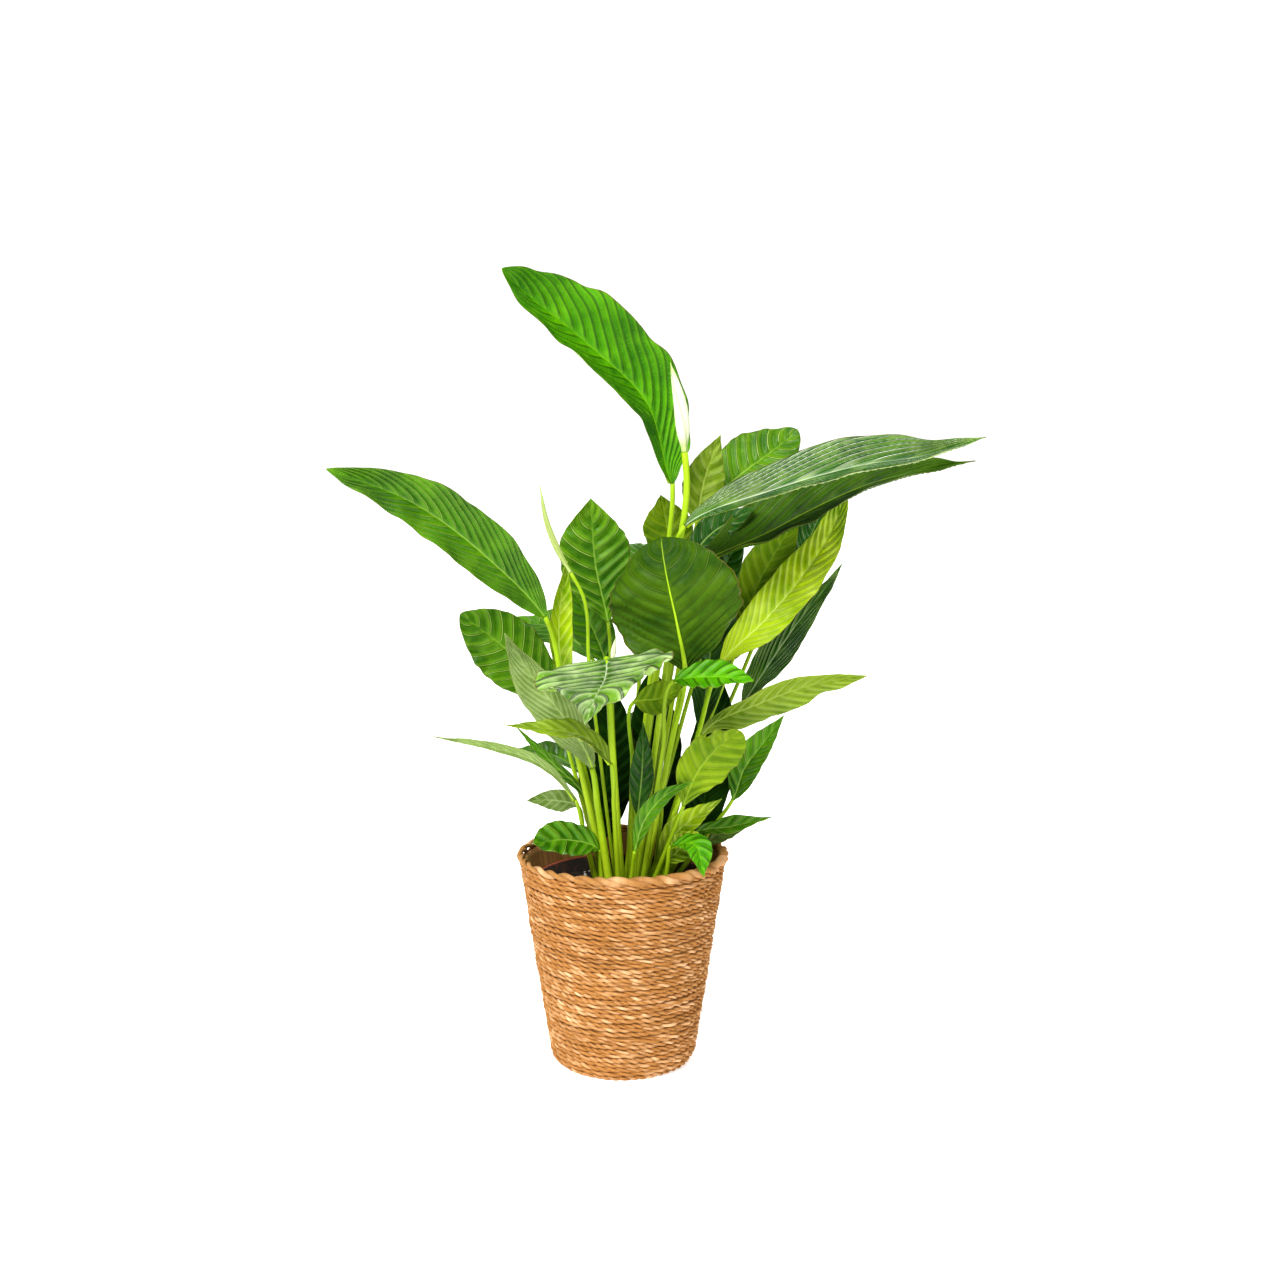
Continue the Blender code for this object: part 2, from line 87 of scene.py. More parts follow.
class Leaf(NamedTuple):
    """A blade's midrib from the neck to the tip, its full width, and the way its upper side faces."""

    midrib: list
    width: float
    face: tuple
    cup: float = 0.12  # how far the midrib lies below the edges, as a share of the half width
    peak: float = 0.42  # where along the blade it is widest
    base: float = 0.75  # how slender it is towards the neck: full below 1
    tip: float = 1.1  # and towards the tip
    foot: tuple = ()  # x and y where it leaves the soil, where the fan would crowd it
    stem: list = []  # points that the petiole passes on its way from the soil
    stout: float = 1.0  # how much thicker its petiole is than the others


def over_rim(bearing, beyond, above):
    """A point in millimetres, placed from the basket's rim: bearing in degrees from +X."""
    radius = RIM_RADIUS / MM + beyond
    turn = math.radians(bearing)
    return radius * math.cos(turn), radius * math.sin(turn), above


LEAVES = {
    "leaf_tall_arching": Leaf(
        [(46, 10, 344), (36, 0, 421), (-20, -20, 480), (-104, -45, 535)],
        76, (0.5, -1, 0.5), cup=0.42, peak=0.55, base=0.6, tip=0.7, foot=(4, 8), stout=1.3
    ),
    "leaf_long_left": Leaf(
        [(-70, -25, 225), (-114, -45, 281), (-186, -65, 337), (-255, -85, 363)],
        56, (-0.3, -1, 0.9), cup=0.2, peak=0.42, base=0.6, tip=0.8, stout=1.3
    ),
    "leaf_round_left": Leaf(
        [(-64, 40, 131), (-106, 50, 179), (-156, 60, 217)],
        62, (-0.2, -1, 0.5), peak=0.55, base=0.7, tip=0.65
    ),
    "leaf_grey_left": Leaf(
        [(-28, -35, 87), (-51, -50, 129), (-81, -60, 173), (-104, -70, 217)],
        44, (-0.5, -1, 0.2), cup=0.2, base=0.8, tip=1.0, foot=(-11, -17), stout=1.6
    ),
    "leaf_hooked_left": Leaf(
        [(-10, -65, 98), (-30, -75, 126), (-64, -85, 136), (-104, -95, 140)],
        30, (-0.2, -0.6, 1), peak=0.35, tip=1.3
    ),
    "leaf_front_drooping": Leaf(
        [(-14, -62, 193), (-17, -98, 192), (-23, -142, 179), (-30, -165, 154)],
        122, (-0.22, -0.3, 1), peak=0.33, base=0.5, tip=1.4, foot=(-1, -19), stout=1.5
    ),
    "leaf_furled": Leaf(
        [(-52, -10, 155), (-56, -14, 203), (-54, -18, 240), (-50, -22, 276)],
        22, (0.3, -1, 0), cup=0.6, peak=0.4, base=0.7, tip=0.9, foot=(-11, 1), stout=1.2
    ),
    "leaf_upright_centre": Leaf(
        [(-14, 22, 214), (-25, 28, 267), (-30, 34, 329)],
        68, (0.1, -1, 0.2), peak=0.55, base=0.9, tip=1.0
    ),
    "leaf_great_round": Leaf(
        [(57, -42, 176), (50, -56, 227), (41, -60, 268), (35, -52, 300)],
        119, (0.1, 1, 0.2), peak=0.55, base=1.1, tip=0.55, foot=(16, -19), stout=1.3
    ),
    "leaf_upright_back": Leaf(
        [(48, 60, 269), (42, 70, 301), (36, 85, 329)],
        48, (0, -1, 0.3), peak=0.48, tip=1.1, foot=(5, 18)
    ),
    "leaf_longest_right": Leaf(
        [(56, -30, 309), (131, -45, 351), (208, -55, 374), (268, -62, 379), (317, -70, 390)],
        56, (-0.2, -0.7, 1), cup=0.3, peak=0.5, tip=1.3, foot=(12, -14), stout=1.2
    ),
    "leaf_second_right": Leaf(
        [(76, -5, 275), (131, 2, 314), (209, 12, 349), (326, 22, 365)],
        66, (-0.4, -0.7, 1), cup=0.35, peak=0.32, tip=1.5, foot=(19, -1), stout=1.2
    ),
    "leaf_rolled_back": Leaf(
        [(79, 60, 318), (111, 72, 352), (141, 85, 373), (168, 98, 391)],
        62, (-0.4, -1, 0.4), peak=0.55, tip=0.6, foot=(16, 10)
    ),
    "leaf_narrow_back": Leaf(
        [(69, 30, 307), (76, 35, 346), (91, 40, 388)],
        38, (0, -1, 0.2), peak=0.4, tip=1.1, foot=(11, 13)
    ),
    "leaf_right_pale": Leaf(
        [(111, 45, 194), (127, 55, 247), (148, 62, 283), (168, 70, 314)],
        44, (-0.4, -1, 0.2), peak=0.5, tip=0.8
    ),
    "leaf_right_dark": Leaf(
        [(142, 82, 218), (169, 92, 265), (186, 102, 299), (198, 110, 325)],
        32, (-0.5, -1, 0.2), peak=0.6, tip=0.8
    ),
    "leaf_right_broad": Leaf(
        [(91, 10, 176), (134, 20, 220), (172, 32, 264), (197, 42, 302), (212, 50, 342)],
        46, (-0.5, -1, 0.2), peak=0.4, base=0.7, tip=0.9, foot=(24, 4), stout=1.2
    ),
    "leaf_right_twisted": Leaf(
        [(115, 70, 125), (145, 88, 170), (179, 102, 215), (202, 108, 241), (215, 115, 259)],
        34, (-0.5, -1, 0.3), peak=0.4, tip=1.1, foot=(33, 27)
    ),
    "leaf_low_right": Leaf(
        [(73, -30, 117), (125, -45, 146), (176, -55, 167), (219, -60, 177)],
        40, (0.3, -1, -0.6), peak=0.4, tip=0.9
    ),
    "leaf_curled_right": Leaf(
        [(104, 20, 44), (114, 24, 73), (134, 30, 99), (153, 35, 123)],
        30, (-0.6, -1, 0), peak=0.35, tip=1.0
    ),
    "leaf_small_round": Leaf(
        [(55, -62, 58), (70, -72, 92), (87, -80, 114), (105, -88, 132)],
        50, (0.2, -1, -0.3), peak=0.6, base=0.9, tip=0.5, foot=(22, -29)
    ),
    "leaf_folded_right": Leaf(
        [(67, 5, 15), (103, 0, 25), (140, -5, 34)],
        20, (0, -0.7, 1), tip=1.2
    ),
    "leaf_pale_over_rim": Leaf(
        [(76, 22, -1), (94, 20, 13), (111, 20, 20), (129, 20, 27)],
        20, (-0.4, -1, 0.5), foot=(44, 22)
    ),
    "leaf_light_low": Leaf(
        [(35, -24, -5), (49, -30, 26), (69, -32, 43), (91, -34, 58)],
        24, (-0.5, -1, 0.3), foot=(30, -16)
    ),
    "leaf_bright_low": Leaf(
        [(40, -38, -1), (51, -42, 12), (69, -44, 29)],
        26, (-0.4, -1, 0.3), peak=0.55, base=0.6, tip=0.7, foot=(31, -28)
    ),
    "leaf_over_rim": Leaf(
        [over_rim(-50, -32, 18), over_rim(-45, -8, 26), over_rim(-50, 14, 0)],
        28, (0, -0.4, 1), foot=(37, -35)
    ),
    "leaf_thin_left": Leaf(
        [(-44, -10, 51), (-75, -20, 88), (-122, -30, 107), (-172, -40, 118)],
        12, (-0.2, -0.8, 1), foot=(-22, -6)
    ),
    "leaf_strip_left": Leaf(
        [(-35, 10, 46), (-68, 5, 84), (-99, 0, 118)],
        11, (-0.6, -1, 0.4), foot=(-19, 3)
    ),
    "leaf_small_grey": Leaf(
        [(-43, 15, 39), (-64, 20, 44), (-92, 25, 42)],
        22, (0, -1, 0.6), peak=0.35, tip=1.1, foot=(-25, 10)
    ),
    "leaf_striped_low": Leaf(
        [(-22, -20, 6), (-49, -32, 21), (-81, -50, 21)],
        38, (0, -1, 1), peak=0.55, base=0.6, tip=0.7, foot=(-19, -17)
    ),
    "leaf_pale_centre": Leaf(
        [(10, -22, 146), (31, -38, 153), (57, -55, 169)],
        30, (-0.2, -1, 0.5), foot=(6, -12)
    ),
    "leaf_flat_front": Leaf(
        [(46, -65, 174), (80, -80, 183), (115, -100, 180)],
        38, (0, -0.7, 1), tip=1.0, foot=(16, -27)
    ),
    "leaf_dark_centre": Leaf(
        [(14, -38, 43), (18, -38, 86), (19, -38, 130)],
        22, (0, -1, 0), foot=(9, -24)
    ),
    "leaf_low_centre": Leaf(
        [(11, -55, 14), (19, -62, 45), (36, -68, 68), (63, -75, 84)],
        18, (-0.5, -1, 0.3)
    ),
    "leaf_dark_upright": Leaf(
        [(-16, 45, 170), (-30, 50, 207), (-49, 55, 244)],
        40, (0.2, -1, 0), peak=0.5
    ),
    # The inner leaves stand in the dark middle of the plant; inner_centre, inner_left and inner_right
    # are coloured as painted shade, far darker than a lit leaf.
    "leaf_inner_centre": Leaf(
        [(28, 36, 2), (30, 42, 78), (28, 48, 162)],
        50, (0, -1, 0.1), cup=0.02, peak=0.5, base=0.5, tip=0.55, foot=(11, 33)
    ),
    "leaf_inner_left": Leaf(
        [(-19, 25, 5), (-16, 33, 70), (-15, 45, 147)],
        54, (0, -1, 0.1), cup=0.02, peak=0.5, base=0.5, tip=0.55, foot=(-13, 22)
    ),
    "leaf_inner_right": Leaf(
        [(66, 28, 0), (81, 33, 60), (94, 43, 155)],
        48, (0, -1, 0.1), peak=0.5, base=0.6, tip=0.8, foot=(32, 19)
    ),
    "leaf_inner_high": Leaf(
        [(72, 20, 112), (84, 27, 206), (97, 35, 309)],
        43, (-0.2, -1, 0.1), peak=0.5, base=0.7, tip=0.9, foot=(30, 10)
    ),
    "leaf_inner_upper": Leaf(
        [(76, 14, 198), (85, 14, 250), (112, 12, 297)],
        40, (-0.2, -1, 0.1), peak=0.5, base=0.7, tip=0.9, foot=(12, 4)
    ),
    "leaf_dark_top": Leaf(
        [(60, 12, 271), (77, 16, 295), (124, 18, 323)],
        30, (-0.3, -1, 0.5), peak=0.45, tip=1.0, foot=(8, -3)
    ),
    "leaf_rear_high": Leaf([(20, 90, 230), (25, 150, 270), (30, 215, 270)], 74, (0, -0.2, 1)),
    "leaf_rear_left": Leaf([(-30, 80, 170), (-75, 130, 200), (-125, 180, 190)], 66, (-0.2, -0.2, 1)),
    "leaf_rear_right": Leaf(
        [(60, 85, 150), (95, 140, 180), (130, 195, 170)], 66, (0.2, -0.2, 1), foot=(20, 33)
    ),
    "leaf_rear_low": Leaf([(10, 75, 80), (5, 120, 105), (-5, 170, 95)], 54, (0, -0.2, 1)),
    "leaf_rear_low_left": Leaf([(-40, 60, 60), (-80, 90, 80), (-120, 115, 70)], 44, (-0.2, 0, 1)),
    "leaf_rear_low_right": Leaf(
        [(60, 60, 50), (95, 90, 68), (130, 115, 55)], 44, (0.2, 0, 1), foot=(26, 33)
    ),
}


class Bloom(NamedTuple):
    """A stalk from the soil with a closed spathe on its end, from the spathe's base to its tip."""

    spathe: list
    width: float
    foot: tuple = ()
    stalk_radius: float = 0.0017
    stem: list = []


BLOOMS = {
    "bloom_tall": Bloom([(56, -24, 375), (52, -26, 416), (43, -28, 454)], 13, (1, 0), 0.003),
    "bloom_faded": Bloom(
        [(-47, -24, 266), (-57, -25, 284), (-68, -26, 312), (-74, -26, 345)],
        6, (-6, -5), stem=[(-31, -15, 183)]
    ),
    "bud_low": Bloom([(36, -14, 57), (36, -14, 75), (37, -14, 97)], 6, (27, -7)),
    "bud_centre": Bloom([(-9, -25, 184), (-8, -25, 195), (-6, -25, 207)], 5, (-4, -10)),
}


# ---- Curves and frames ------------------------------------------------------------------------


def curve_through(points, count):
    """A smooth curve through the points, as count points at equal steps of arc length."""
    points = np.array(points, float)
    steps = np.linalg.norm(np.diff(points, axis=0), axis=1)
    slopes = np.diff(points, axis=0) / steps[:, None]
    tangents = np.empty_like(points)
    tangents[0], tangents[-1] = slopes[0], slopes[-1]
    weights = (steps[1:] / (steps[1:] + steps[:-1]))[:, None]
    tangents[1:-1] = slopes[:-1] * weights + slopes[1:] * (1 - weights)
    dense = []
    for k, step in enumerate(steps):
        t = np.linspace(0, 1, 24, endpoint=False)[:, None]
        dense.append(
            points[k] * (2 * t**3 - 3 * t**2 + 1)
            + points[k + 1] * (3 * t**2 - 2 * t**3)
            + tangents[k] * step * (t**3 - 2 * t**2 + t)
            + tangents[k + 1] * step * (t**3 - t**2)
        )
    dense = np.vstack(dense + [points[-1:]])
    along = np.concatenate([[0], np.cumsum(np.linalg.norm(np.diff(dense, axis=0), axis=1))])
    wanted = np.linspace(0, along[-1], count)
    return np.stack([np.interp(wanted, along, dense[:, axis]) for axis in range(3)], axis=1)


def unit(vector):
    return vector / np.linalg.norm(vector)


def frames_along(line, face, at):
    """Side and normal vectors at each point, facing as given at one point and turning least."""
    tangents = np.gradient(line, axis=0)
    tangents /= np.linalg.norm(tangents, axis=1)[:, None]
    normals = np.empty_like(line)
    facing = np.array(face, float)
    normals[at] = unit(facing - tangents[at] * (facing @ tangents[at]))
    for step, stop in ((1, len(line)), (-1, -1)):
        for k in range(at + step, stop, step):
            carried = normals[k - step]
            normals[k] = unit(carried - tangents[k] * (carried @ tangents[k]))
    return np.cross(tangents, normals), normals


def on_rim(point):
    """A plant point, given in millimetres above the rim, in metres above the ground."""
    x, y, z = point
    return np.array([x * MM, y * MM, BASKET_HEIGHT + z * MM])


def foot_of(plan, top):
    """Where a stem leaves the soil: as planned, or on the straight line from its top to the crown."""
    if plan:
        return np.array([plan[0] * MM, plan[1] * MM, SOIL_Z + GAP])
    rise = top[2] - SOIL_Z
    share_x = CROWN_DEPTH_X / (rise + CROWN_DEPTH_X)
    share_y = CROWN_DEPTH_Y / (rise + CROWN_DEPTH_Y)
    return np.array([top[0] * share_x, top[1] * share_y, SOIL_Z + GAP])


def blade_share(t, peak, base, tip):
    """A blade's width at t along it, from 0 at both ends to 1 at its widest."""
    rising = np.sin(np.clip(t / peak, 0, 1) * math.pi / 2) ** base
    falling = np.cos(np.clip((t - peak) / (1 - peak), 0, 1) * math.pi / 2) ** tip
    return rising * falling


def stem_points(piece, top):
    """The points of a stem below its top: its foot, then its own points or a nearly straight rise."""
    foot = foot_of(piece.foot, top)
    if piece.stem:
        return [foot, *(on_rim(point) for point in piece.stem)]
    return [foot, foot + (top - foot) * STRAIGHT_SHARE]


# ---- Mesh helpers -----------------------------------------------------------------------------


def grid_faces(rows, columns, start=0, closed=False, flip=False):
    """Quads of a grid of points, row by row; a closed grid joins its last column to its first."""
    row = np.arange(rows - 1)[:, None]
    column = np.arange(columns if closed else columns - 1)[None, :]
    a = start + row * columns + column
    b = start + row * columns + (column + 1) % columns
    faces = np.stack([a, b, b + columns, a + columns], axis=-1).reshape(-1, 4)
    return (faces[:, ::-1] if flip else faces).tolist()


class Build:
    """Gathers points, faces, material numbers and point attributes of one piece."""

    def __init__(self):
        self.points, self.faces, self.slots, self.values = [], [], [], {}
        self.count = 0

    def add(self, points, faces, slot=0, **values):
        """Adds points and the faces on them, whose numbers start at the first new point."""
        points = np.asarray(points).reshape(-1, 3)
        self.points.append(points)
        self.faces += [[self.count + k for k in face] for face in faces]
        self.slots += [slot] * len(faces)
        for name in sorted(set(values) | set(self.values)):
            given = np.broadcast_to(np.ravel(values.get(name, 0.0)), (len(points),))
            self.values.setdefault(name, [np.zeros(self.count)] if self.count else []).append(given)
        self.count += len(points)

    def tube(self, line, sides, normals, radii, slot=0, squash=1.0, ends=(0, 1), **values):
        """A closed round tube, with its own radius at each point of the line."""
        rows = len(line)
        turn = np.linspace(0, 2 * math.pi, TUBE_SIDES, endpoint=False)
        radii = np.broadcast_to(radii, (rows,))[:, None, None]
        ring = np.cos(turn)[None, :, None] * sides[:, None] + (
            np.sin(turn)[None, :, None] * normals[:, None] * squash
        )
        points = line[:, None] + ring * radii
        faces = grid_faces(rows, TUBE_SIDES, closed=True, flip=True)
        last = (rows - 1) * TUBE_SIDES
        faces.append(list(range(TUBE_SIDES)))
        faces.append([last + k for k in reversed(range(TUBE_SIDES))])
        along = np.repeat(np.linspace(*ends, rows), TUBE_SIDES)
        self.add(points, faces, slot, leaf_t=along, **values)

    def piece(self, name, materials, node):
        data = bpy.data.meshes.new(name)
        data.from_pydata(np.vstack(self.points).tolist(), [], self.faces)
        data.polygons.foreach_set("material_index", self.slots)
        for key, parts in self.values.items():
            layer = data.attributes.new(key, "FLOAT", "POINT")
            layer.data.foreach_set("value", np.concatenate(parts).astype(np.float32))
        data.shade_smooth()
        made = bpy.data.objects.new(name, data)
        bpy.context.scene.collection.objects.link(made)
        for material in materials:
            data.materials.append(material)
        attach(made, BODY)
        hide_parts(node)
        return made


def smooth_step(low, high, value):
    share = np.clip((value - low) / (high - low), 0, 1)
    return share * share * (3 - 2 * share)


def drift(rng, count, waves=4, closed=False):
    """A smooth random curve of about unit height over count points."""
    x = np.linspace(0, 2 * math.pi, count, endpoint=not closed)
    total = np.zeros(count)
    for k in range(1, waves + 1):
        total += rng.normal() * np.sin(k * x + rng.uniform(0, 2 * math.pi)) / k**0.7
    return total / 1.6


# ---- Materials --------------------------------------------------------------------------------


class Nodes:
    """A short way to write a material's node tree."""

    def __init__(self, name, roughness=0.5, **shader):
        self.material = bpy.data.materials.new(name)
        self.material.use_nodes = True
        self.tree = self.material.node_tree
        self.shader = self.tree.nodes["Principled BSDF"]
        self.shader.inputs["Roughness"].default_value = roughness
        for key, value in shader.items():
            self.shader.inputs[key.replace("_", " ")].default_value = value

    def link(self, value, socket):
        if isinstance(value, bpy.types.NodeSocket):
            self.tree.links.new(value, socket)
        else:
            socket.default_value = value

    def attribute(self, name):
        node = self.tree.nodes.new("ShaderNodeAttribute")
        node.attribute_name = name
        return node.outputs["Fac"]

    def place(self):
        return self.tree.nodes.new("ShaderNodeTexCoord").outputs["Object"]

    def math(self, operation, first, second=0.0, third=0.0):
        node = self.tree.nodes.new("ShaderNodeMath")
        node.operation = operation
        for socket, value in zip(node.inputs, (first, second, third)):
            self.link(value, socket)
        return node.outputs[0]

    def ramp(self, value, low, high, start=0.0, end=1.0, smooth=True):
        """value's run from low to high, as a run from start to end."""
        node = self.tree.nodes.new("ShaderNodeMapRange")
        node.interpolation_type = "SMOOTHSTEP" if smooth else "LINEAR"
        for socket, given in zip(node.inputs, (value, low, high, start, end)):
            self.link(given, socket)
        return node.outputs[0]

    def noise(self, scale, detail=3.0, vector=None, rough=0.5, distortion=0.0):
        node = self.tree.nodes.new("ShaderNodeTexNoise")
        self.link(self.place() if vector is None else vector, node.inputs["Vector"])
        node.inputs["Scale"].default_value = scale
        node.inputs["Detail"].default_value = detail
        node.inputs["Roughness"].default_value = rough
        node.inputs["Distortion"].default_value = distortion
        return node.outputs["Fac"]

    def vector(self, x=0.0, y=0.0, z=0.0):
        node = self.tree.nodes.new("ShaderNodeCombineXYZ")
        for socket, value in zip(node.inputs, (x, y, z)):
            self.link(value, socket)
        return node.outputs[0]

    def mix(self, share, first, second, blend="MIX"):
        node = self.tree.nodes.new("ShaderNodeMix")
        node.data_type = "RGBA"
        node.blend_type = blend
        colours = [s for s in node.inputs if s.type == "RGBA"]
        self.link(share, node.inputs[0])
        for socket, value in zip(colours, (first, second)):
            self.link(value if isinstance(value, bpy.types.NodeSocket) else (*value, 1), socket)
        return next(s for s in node.outputs if s.type == "RGBA")

    def bump(self, height, strength, distance):
        node = self.tree.nodes.new("ShaderNodeBump")
        node.inputs["Strength"].default_value = strength
        node.inputs["Distance"].default_value = distance
        self.link(height, node.inputs["Height"])
        self.tree.links.new(node.outputs[0], self.shader.inputs["Normal"])

    def finish(self, colour, roughness=None):
        self.link(colour, self.shader.inputs["Base Color"])
        if roughness is not None:
            self.link(roughness, self.shader.inputs["Roughness"])
        return self.material


def leaf_material(name, shade, body, light, vein, under, gloss, lines, furrow_shade_depth, specular=0.18):
    """A ribbed blade: painted shade in the furrows, painted light on one side of each rib, pale
    nerves, clouded green, and a thin dry edge.
    """
    n = Nodes(name)
    n.shader.inputs["Specular IOR Level"].default_value = specular
    quarter = n.math("FRACT", n.attribute("vein_q"))
    from_rib = n.math("ABSOLUTE", n.math("SUBTRACT", quarter, 0.5))
    on_blade = n.ramp(n.attribute("mid_mm"), 1.0, 4.0)
    # Painted shade: the furrows between the ribs are darkened towards the shade green, as if shade
    # fell in them.
    painted_furrow_shade = n.math("MULTIPLY", n.ramp(from_rib, 0.30, 0.47), on_blade)
    nerve = n.math("MULTIPLY", n.ramp(from_rib, 0.455, 0.49), on_blade)
    # Painted light: one side of each rib is mixed towards the light green, as if lit from that side.
    painted_rib_light = n.ramp(quarter, 0.05, 0.5, 1.0, 0.0)
    cloud = n.ramp(n.noise(22.0, 4.0, rough=0.6), 0.32, 0.68)
    patch = n.ramp(n.noise(55.0, 3.0), 0.45, 0.75)
    colour = n.mix(cloud, shade, body)
    colour = n.mix(n.math("MULTIPLY", painted_rib_light, 0.35), colour, light)
    colour = n.mix(n.math("MULTIPLY", patch, 0.3), colour, light)
    colour = n.mix(n.math("MULTIPLY", painted_furrow_shade, furrow_shade_depth), colour, [c * 0.45 for c in shade])
    below = n.mix(n.math("MULTIPLY", cloud, 0.6), under, light)
    # The underside gets the same painted light on one side of each rib and painted shade in its
    # furrows.
    below = n.mix(n.math("MULTIPLY", painted_rib_light, 0.3), below, light)
    below = n.mix(n.math("MULTIPLY", painted_furrow_shade, furrow_shade_depth), below, shade)
    colour = n.mix(n.attribute("under"), colour, below)
    broken = n.ramp(n.noise(30.0, 2.0), 0.35, 0.6, 0.25, 1.0)
    drawn = n.math("MULTIPLY", n.math("MULTIPLY", nerve, broken), lines)
    colour = n.mix(drawn, colour, vein)
    rib = n.ramp(n.attribute("mid_mm"), 0.3, 1.1, 1.0, 0.0)
    near_base = n.ramp(n.attribute("leaf_t"), 0.35, 0.9, 1.0, 0.15)
    over = n.math("MULTIPLY", n.math("MULTIPLY_ADD", n.attribute("under"), 0.5, 0.4), near_base)
    colour = n.mix(n.math("MULTIPLY", rib, over), colour, vein)
    dry = n.ramp(n.attribute("edge_s"), 0.972, 0.997, 0.0, 0.75)
    colour = n.mix(dry, colour, (0.16, 0.12, 0.03))
    fleck = n.noise(700.0, 2.0)
    height = n.math("ADD", n.math("MULTIPLY", nerve, -0.4), n.math("MULTIPLY", fleck, 0.15))
    n.bump(height, 0.3, 0.0006)
    rough = n.ramp(n.noise(45.0, 3.0), 0.25, 0.75, gloss - 0.08, gloss + 0.1)
    rough = n.math("ADD", rough, n.math("MULTIPLY", n.attribute("under"), 0.12))
    return n.finish(colour, rough)


def stem_material(name, low, high):
    """A petiole: pale and yellow-green at the soil, greener above, with fine long streaks."""
    n = Nodes(name, 0.4)
    n.shader.inputs["Specular IOR Level"].default_value = 0.25
    long = n.vector(n.math("MULTIPLY", n.attribute("leaf_t"), 3.0), n.attribute("around"), 0.0)
    streak = n.ramp(n.noise(9.0, 5.0, long, 0.6), 0.3, 0.7)
    body = n.mix(n.ramp(n.attribute("leaf_t"), 0.05, 0.9), low, high)
    body = n.mix(n.attribute("tone"), body, [c * 0.5 for c in high])
    body = n.mix(n.ramp(n.noise(14.0, 2.0), 0.4, 0.7, 0.0, 0.5), body, [c * 0.45 for c in high])
    body = n.mix(n.math("MULTIPLY", streak, 0.4), body, [c * 0.5 for c in high])
    n.bump(streak, 0.25, 0.0005)
    return n.finish(body)


PALE_NERVE = (0.42, 0.58, 0.12)
LEAF_KINDS = {
    "vivid": leaf_material(
        "leaf_vivid", (0.022, 0.135, 0.0), (0.085, 0.32, 0.0), (0.20, 0.50, 0.002),
        (0.26, 0.52, 0.02), (0.20, 0.42, 0.01), 0.45, 0.15, 0.8,
    ),
    "deep": leaf_material(
        "leaf_deep", (0.022, 0.10, 0.0), (0.075, 0.23, 0.0), (0.19, 0.41, 0.003),
        PALE_NERVE, (0.14, 0.32, 0.02), 0.40, 0.7, 0.7, 0.3,
    ),
    "mid": leaf_material(
        "leaf_mid", (0.025, 0.11, 0.0), (0.09, 0.23, 0.0), (0.25, 0.44, 0.03),
        PALE_NERVE, (0.18, 0.36, 0.02), 0.42, 0.8, 0.6,
    ),
    "dark": leaf_material(
        "leaf_dark", (0.004, 0.035, 0.0), (0.014, 0.09, 0.0), (0.05, 0.19, 0.003),
        PALE_NERVE, (0.05, 0.15, 0.006), 0.36, 0.35, 0.6, 0.3,
    ),
    "young": leaf_material(
        "leaf_young", (0.17, 0.32, 0.0), (0.42, 0.57, 0.004), (0.74, 0.84, 0.18),
        (0.66, 0.78, 0.25), (0.30, 0.44, 0.02), 0.45, 0.35, 0.45,
    ),
    # Near-white nerve lines on a dark green: partly the pale nerves, partly painted highlights along
    # the ribs.
    "streak": leaf_material(
        "leaf_streak_painted_highlights", (0.006, 0.06, 0.0), (0.04, 0.15, 0.0), (0.34, 0.47, 0.12),
        (0.92, 0.96, 0.80), (0.30, 0.42, 0.16), 0.34, 1.0, 0.85, 0.25,
    ),
    "lime": leaf_material(
        "leaf_lime", (0.08, 0.17, 0.0), (0.17, 0.27, 0.0), (0.32, 0.43, 0.015),
        (0.40, 0.55, 0.06), (0.18, 0.31, 0.01), 0.5, 0.3, 0.4,
    ),
    "grey": leaf_material(
        "leaf_grey", (0.12, 0.20, 0.03), (0.25, 0.35, 0.10), (0.42, 0.52, 0.25),
        (0.48, 0.58, 0.26), (0.24, 0.34, 0.09), 0.55, 0.35, 0.3,
    ),
    "olive": leaf_material(
        "leaf_olive", (0.09, 0.17, 0.0), (0.21, 0.31, 0.015), (0.38, 0.48, 0.10),
        (0.50, 0.60, 0.16), (0.28, 0.39, 0.03), 0.5, 0.3, 0.35,
    ),
    "back": leaf_material(
        "leaf_back", (0.010, 0.045, 0.0), (0.040, 0.11, 0.0), (0.09, 0.18, 0.0),
        (0.38, 0.50, 0.04), (0.016, 0.060, 0.0), 0.42, 0.25, 0.75, 0.15,
    ),
    # Near-white light and nerve greens: painted sheen, the bright surround's reflection laid on the
    # ribs as colour.
    "gloss": leaf_material(
        "leaf_gloss_painted_sheen", (0.010, 0.07, 0.0), (0.18, 0.36, 0.03), (0.75, 0.86, 0.50),
        (0.82, 0.90, 0.66), (0.20, 0.36, 0.04), 0.30, 0.25, 0.95, 0.35,
    ),
    # Painted shade: a green far darker than a lit leaf's, for inner leaves that fill the shadow
    # between the stems.
    "shade": leaf_material(
        "leaf_painted_shade", (0.002, 0.016, 0.0), (0.007, 0.042, 0.0), (0.022, 0.09, 0.0),
        (0.04, 0.11, 0.0), (0.010, 0.05, 0.0), 0.6, 0.2, 0.6, 0.08,
    ),
}
STEMS = stem_material("petiole", (0.58, 0.76, 0.03), (0.40, 0.62, 0.012))
KINDS = {
    "vivid": "tall_arching over_rim flat_front",
    "grey": "grey_left pale_over_rim thin_left small_grey",
    "olive": "hooked_left narrow_back low_right",
    "gloss": "front_drooping",
    "young": "furled right_broad light_low bright_low",
    "back": "great_round second_right",
    "lime": "upright_back right_pale small_round pale_centre",
    "mid": "upright_centre round_left rolled_back",
    "streak": "longest_right right_twisted",
    "dark": "right_dark dark_centre inner_high inner_upper dark_top",
    # inner_centre, inner_left and inner_right wear painted shade, far darker than a real leaf.
    "shade": "inner_centre inner_left inner_right",
}
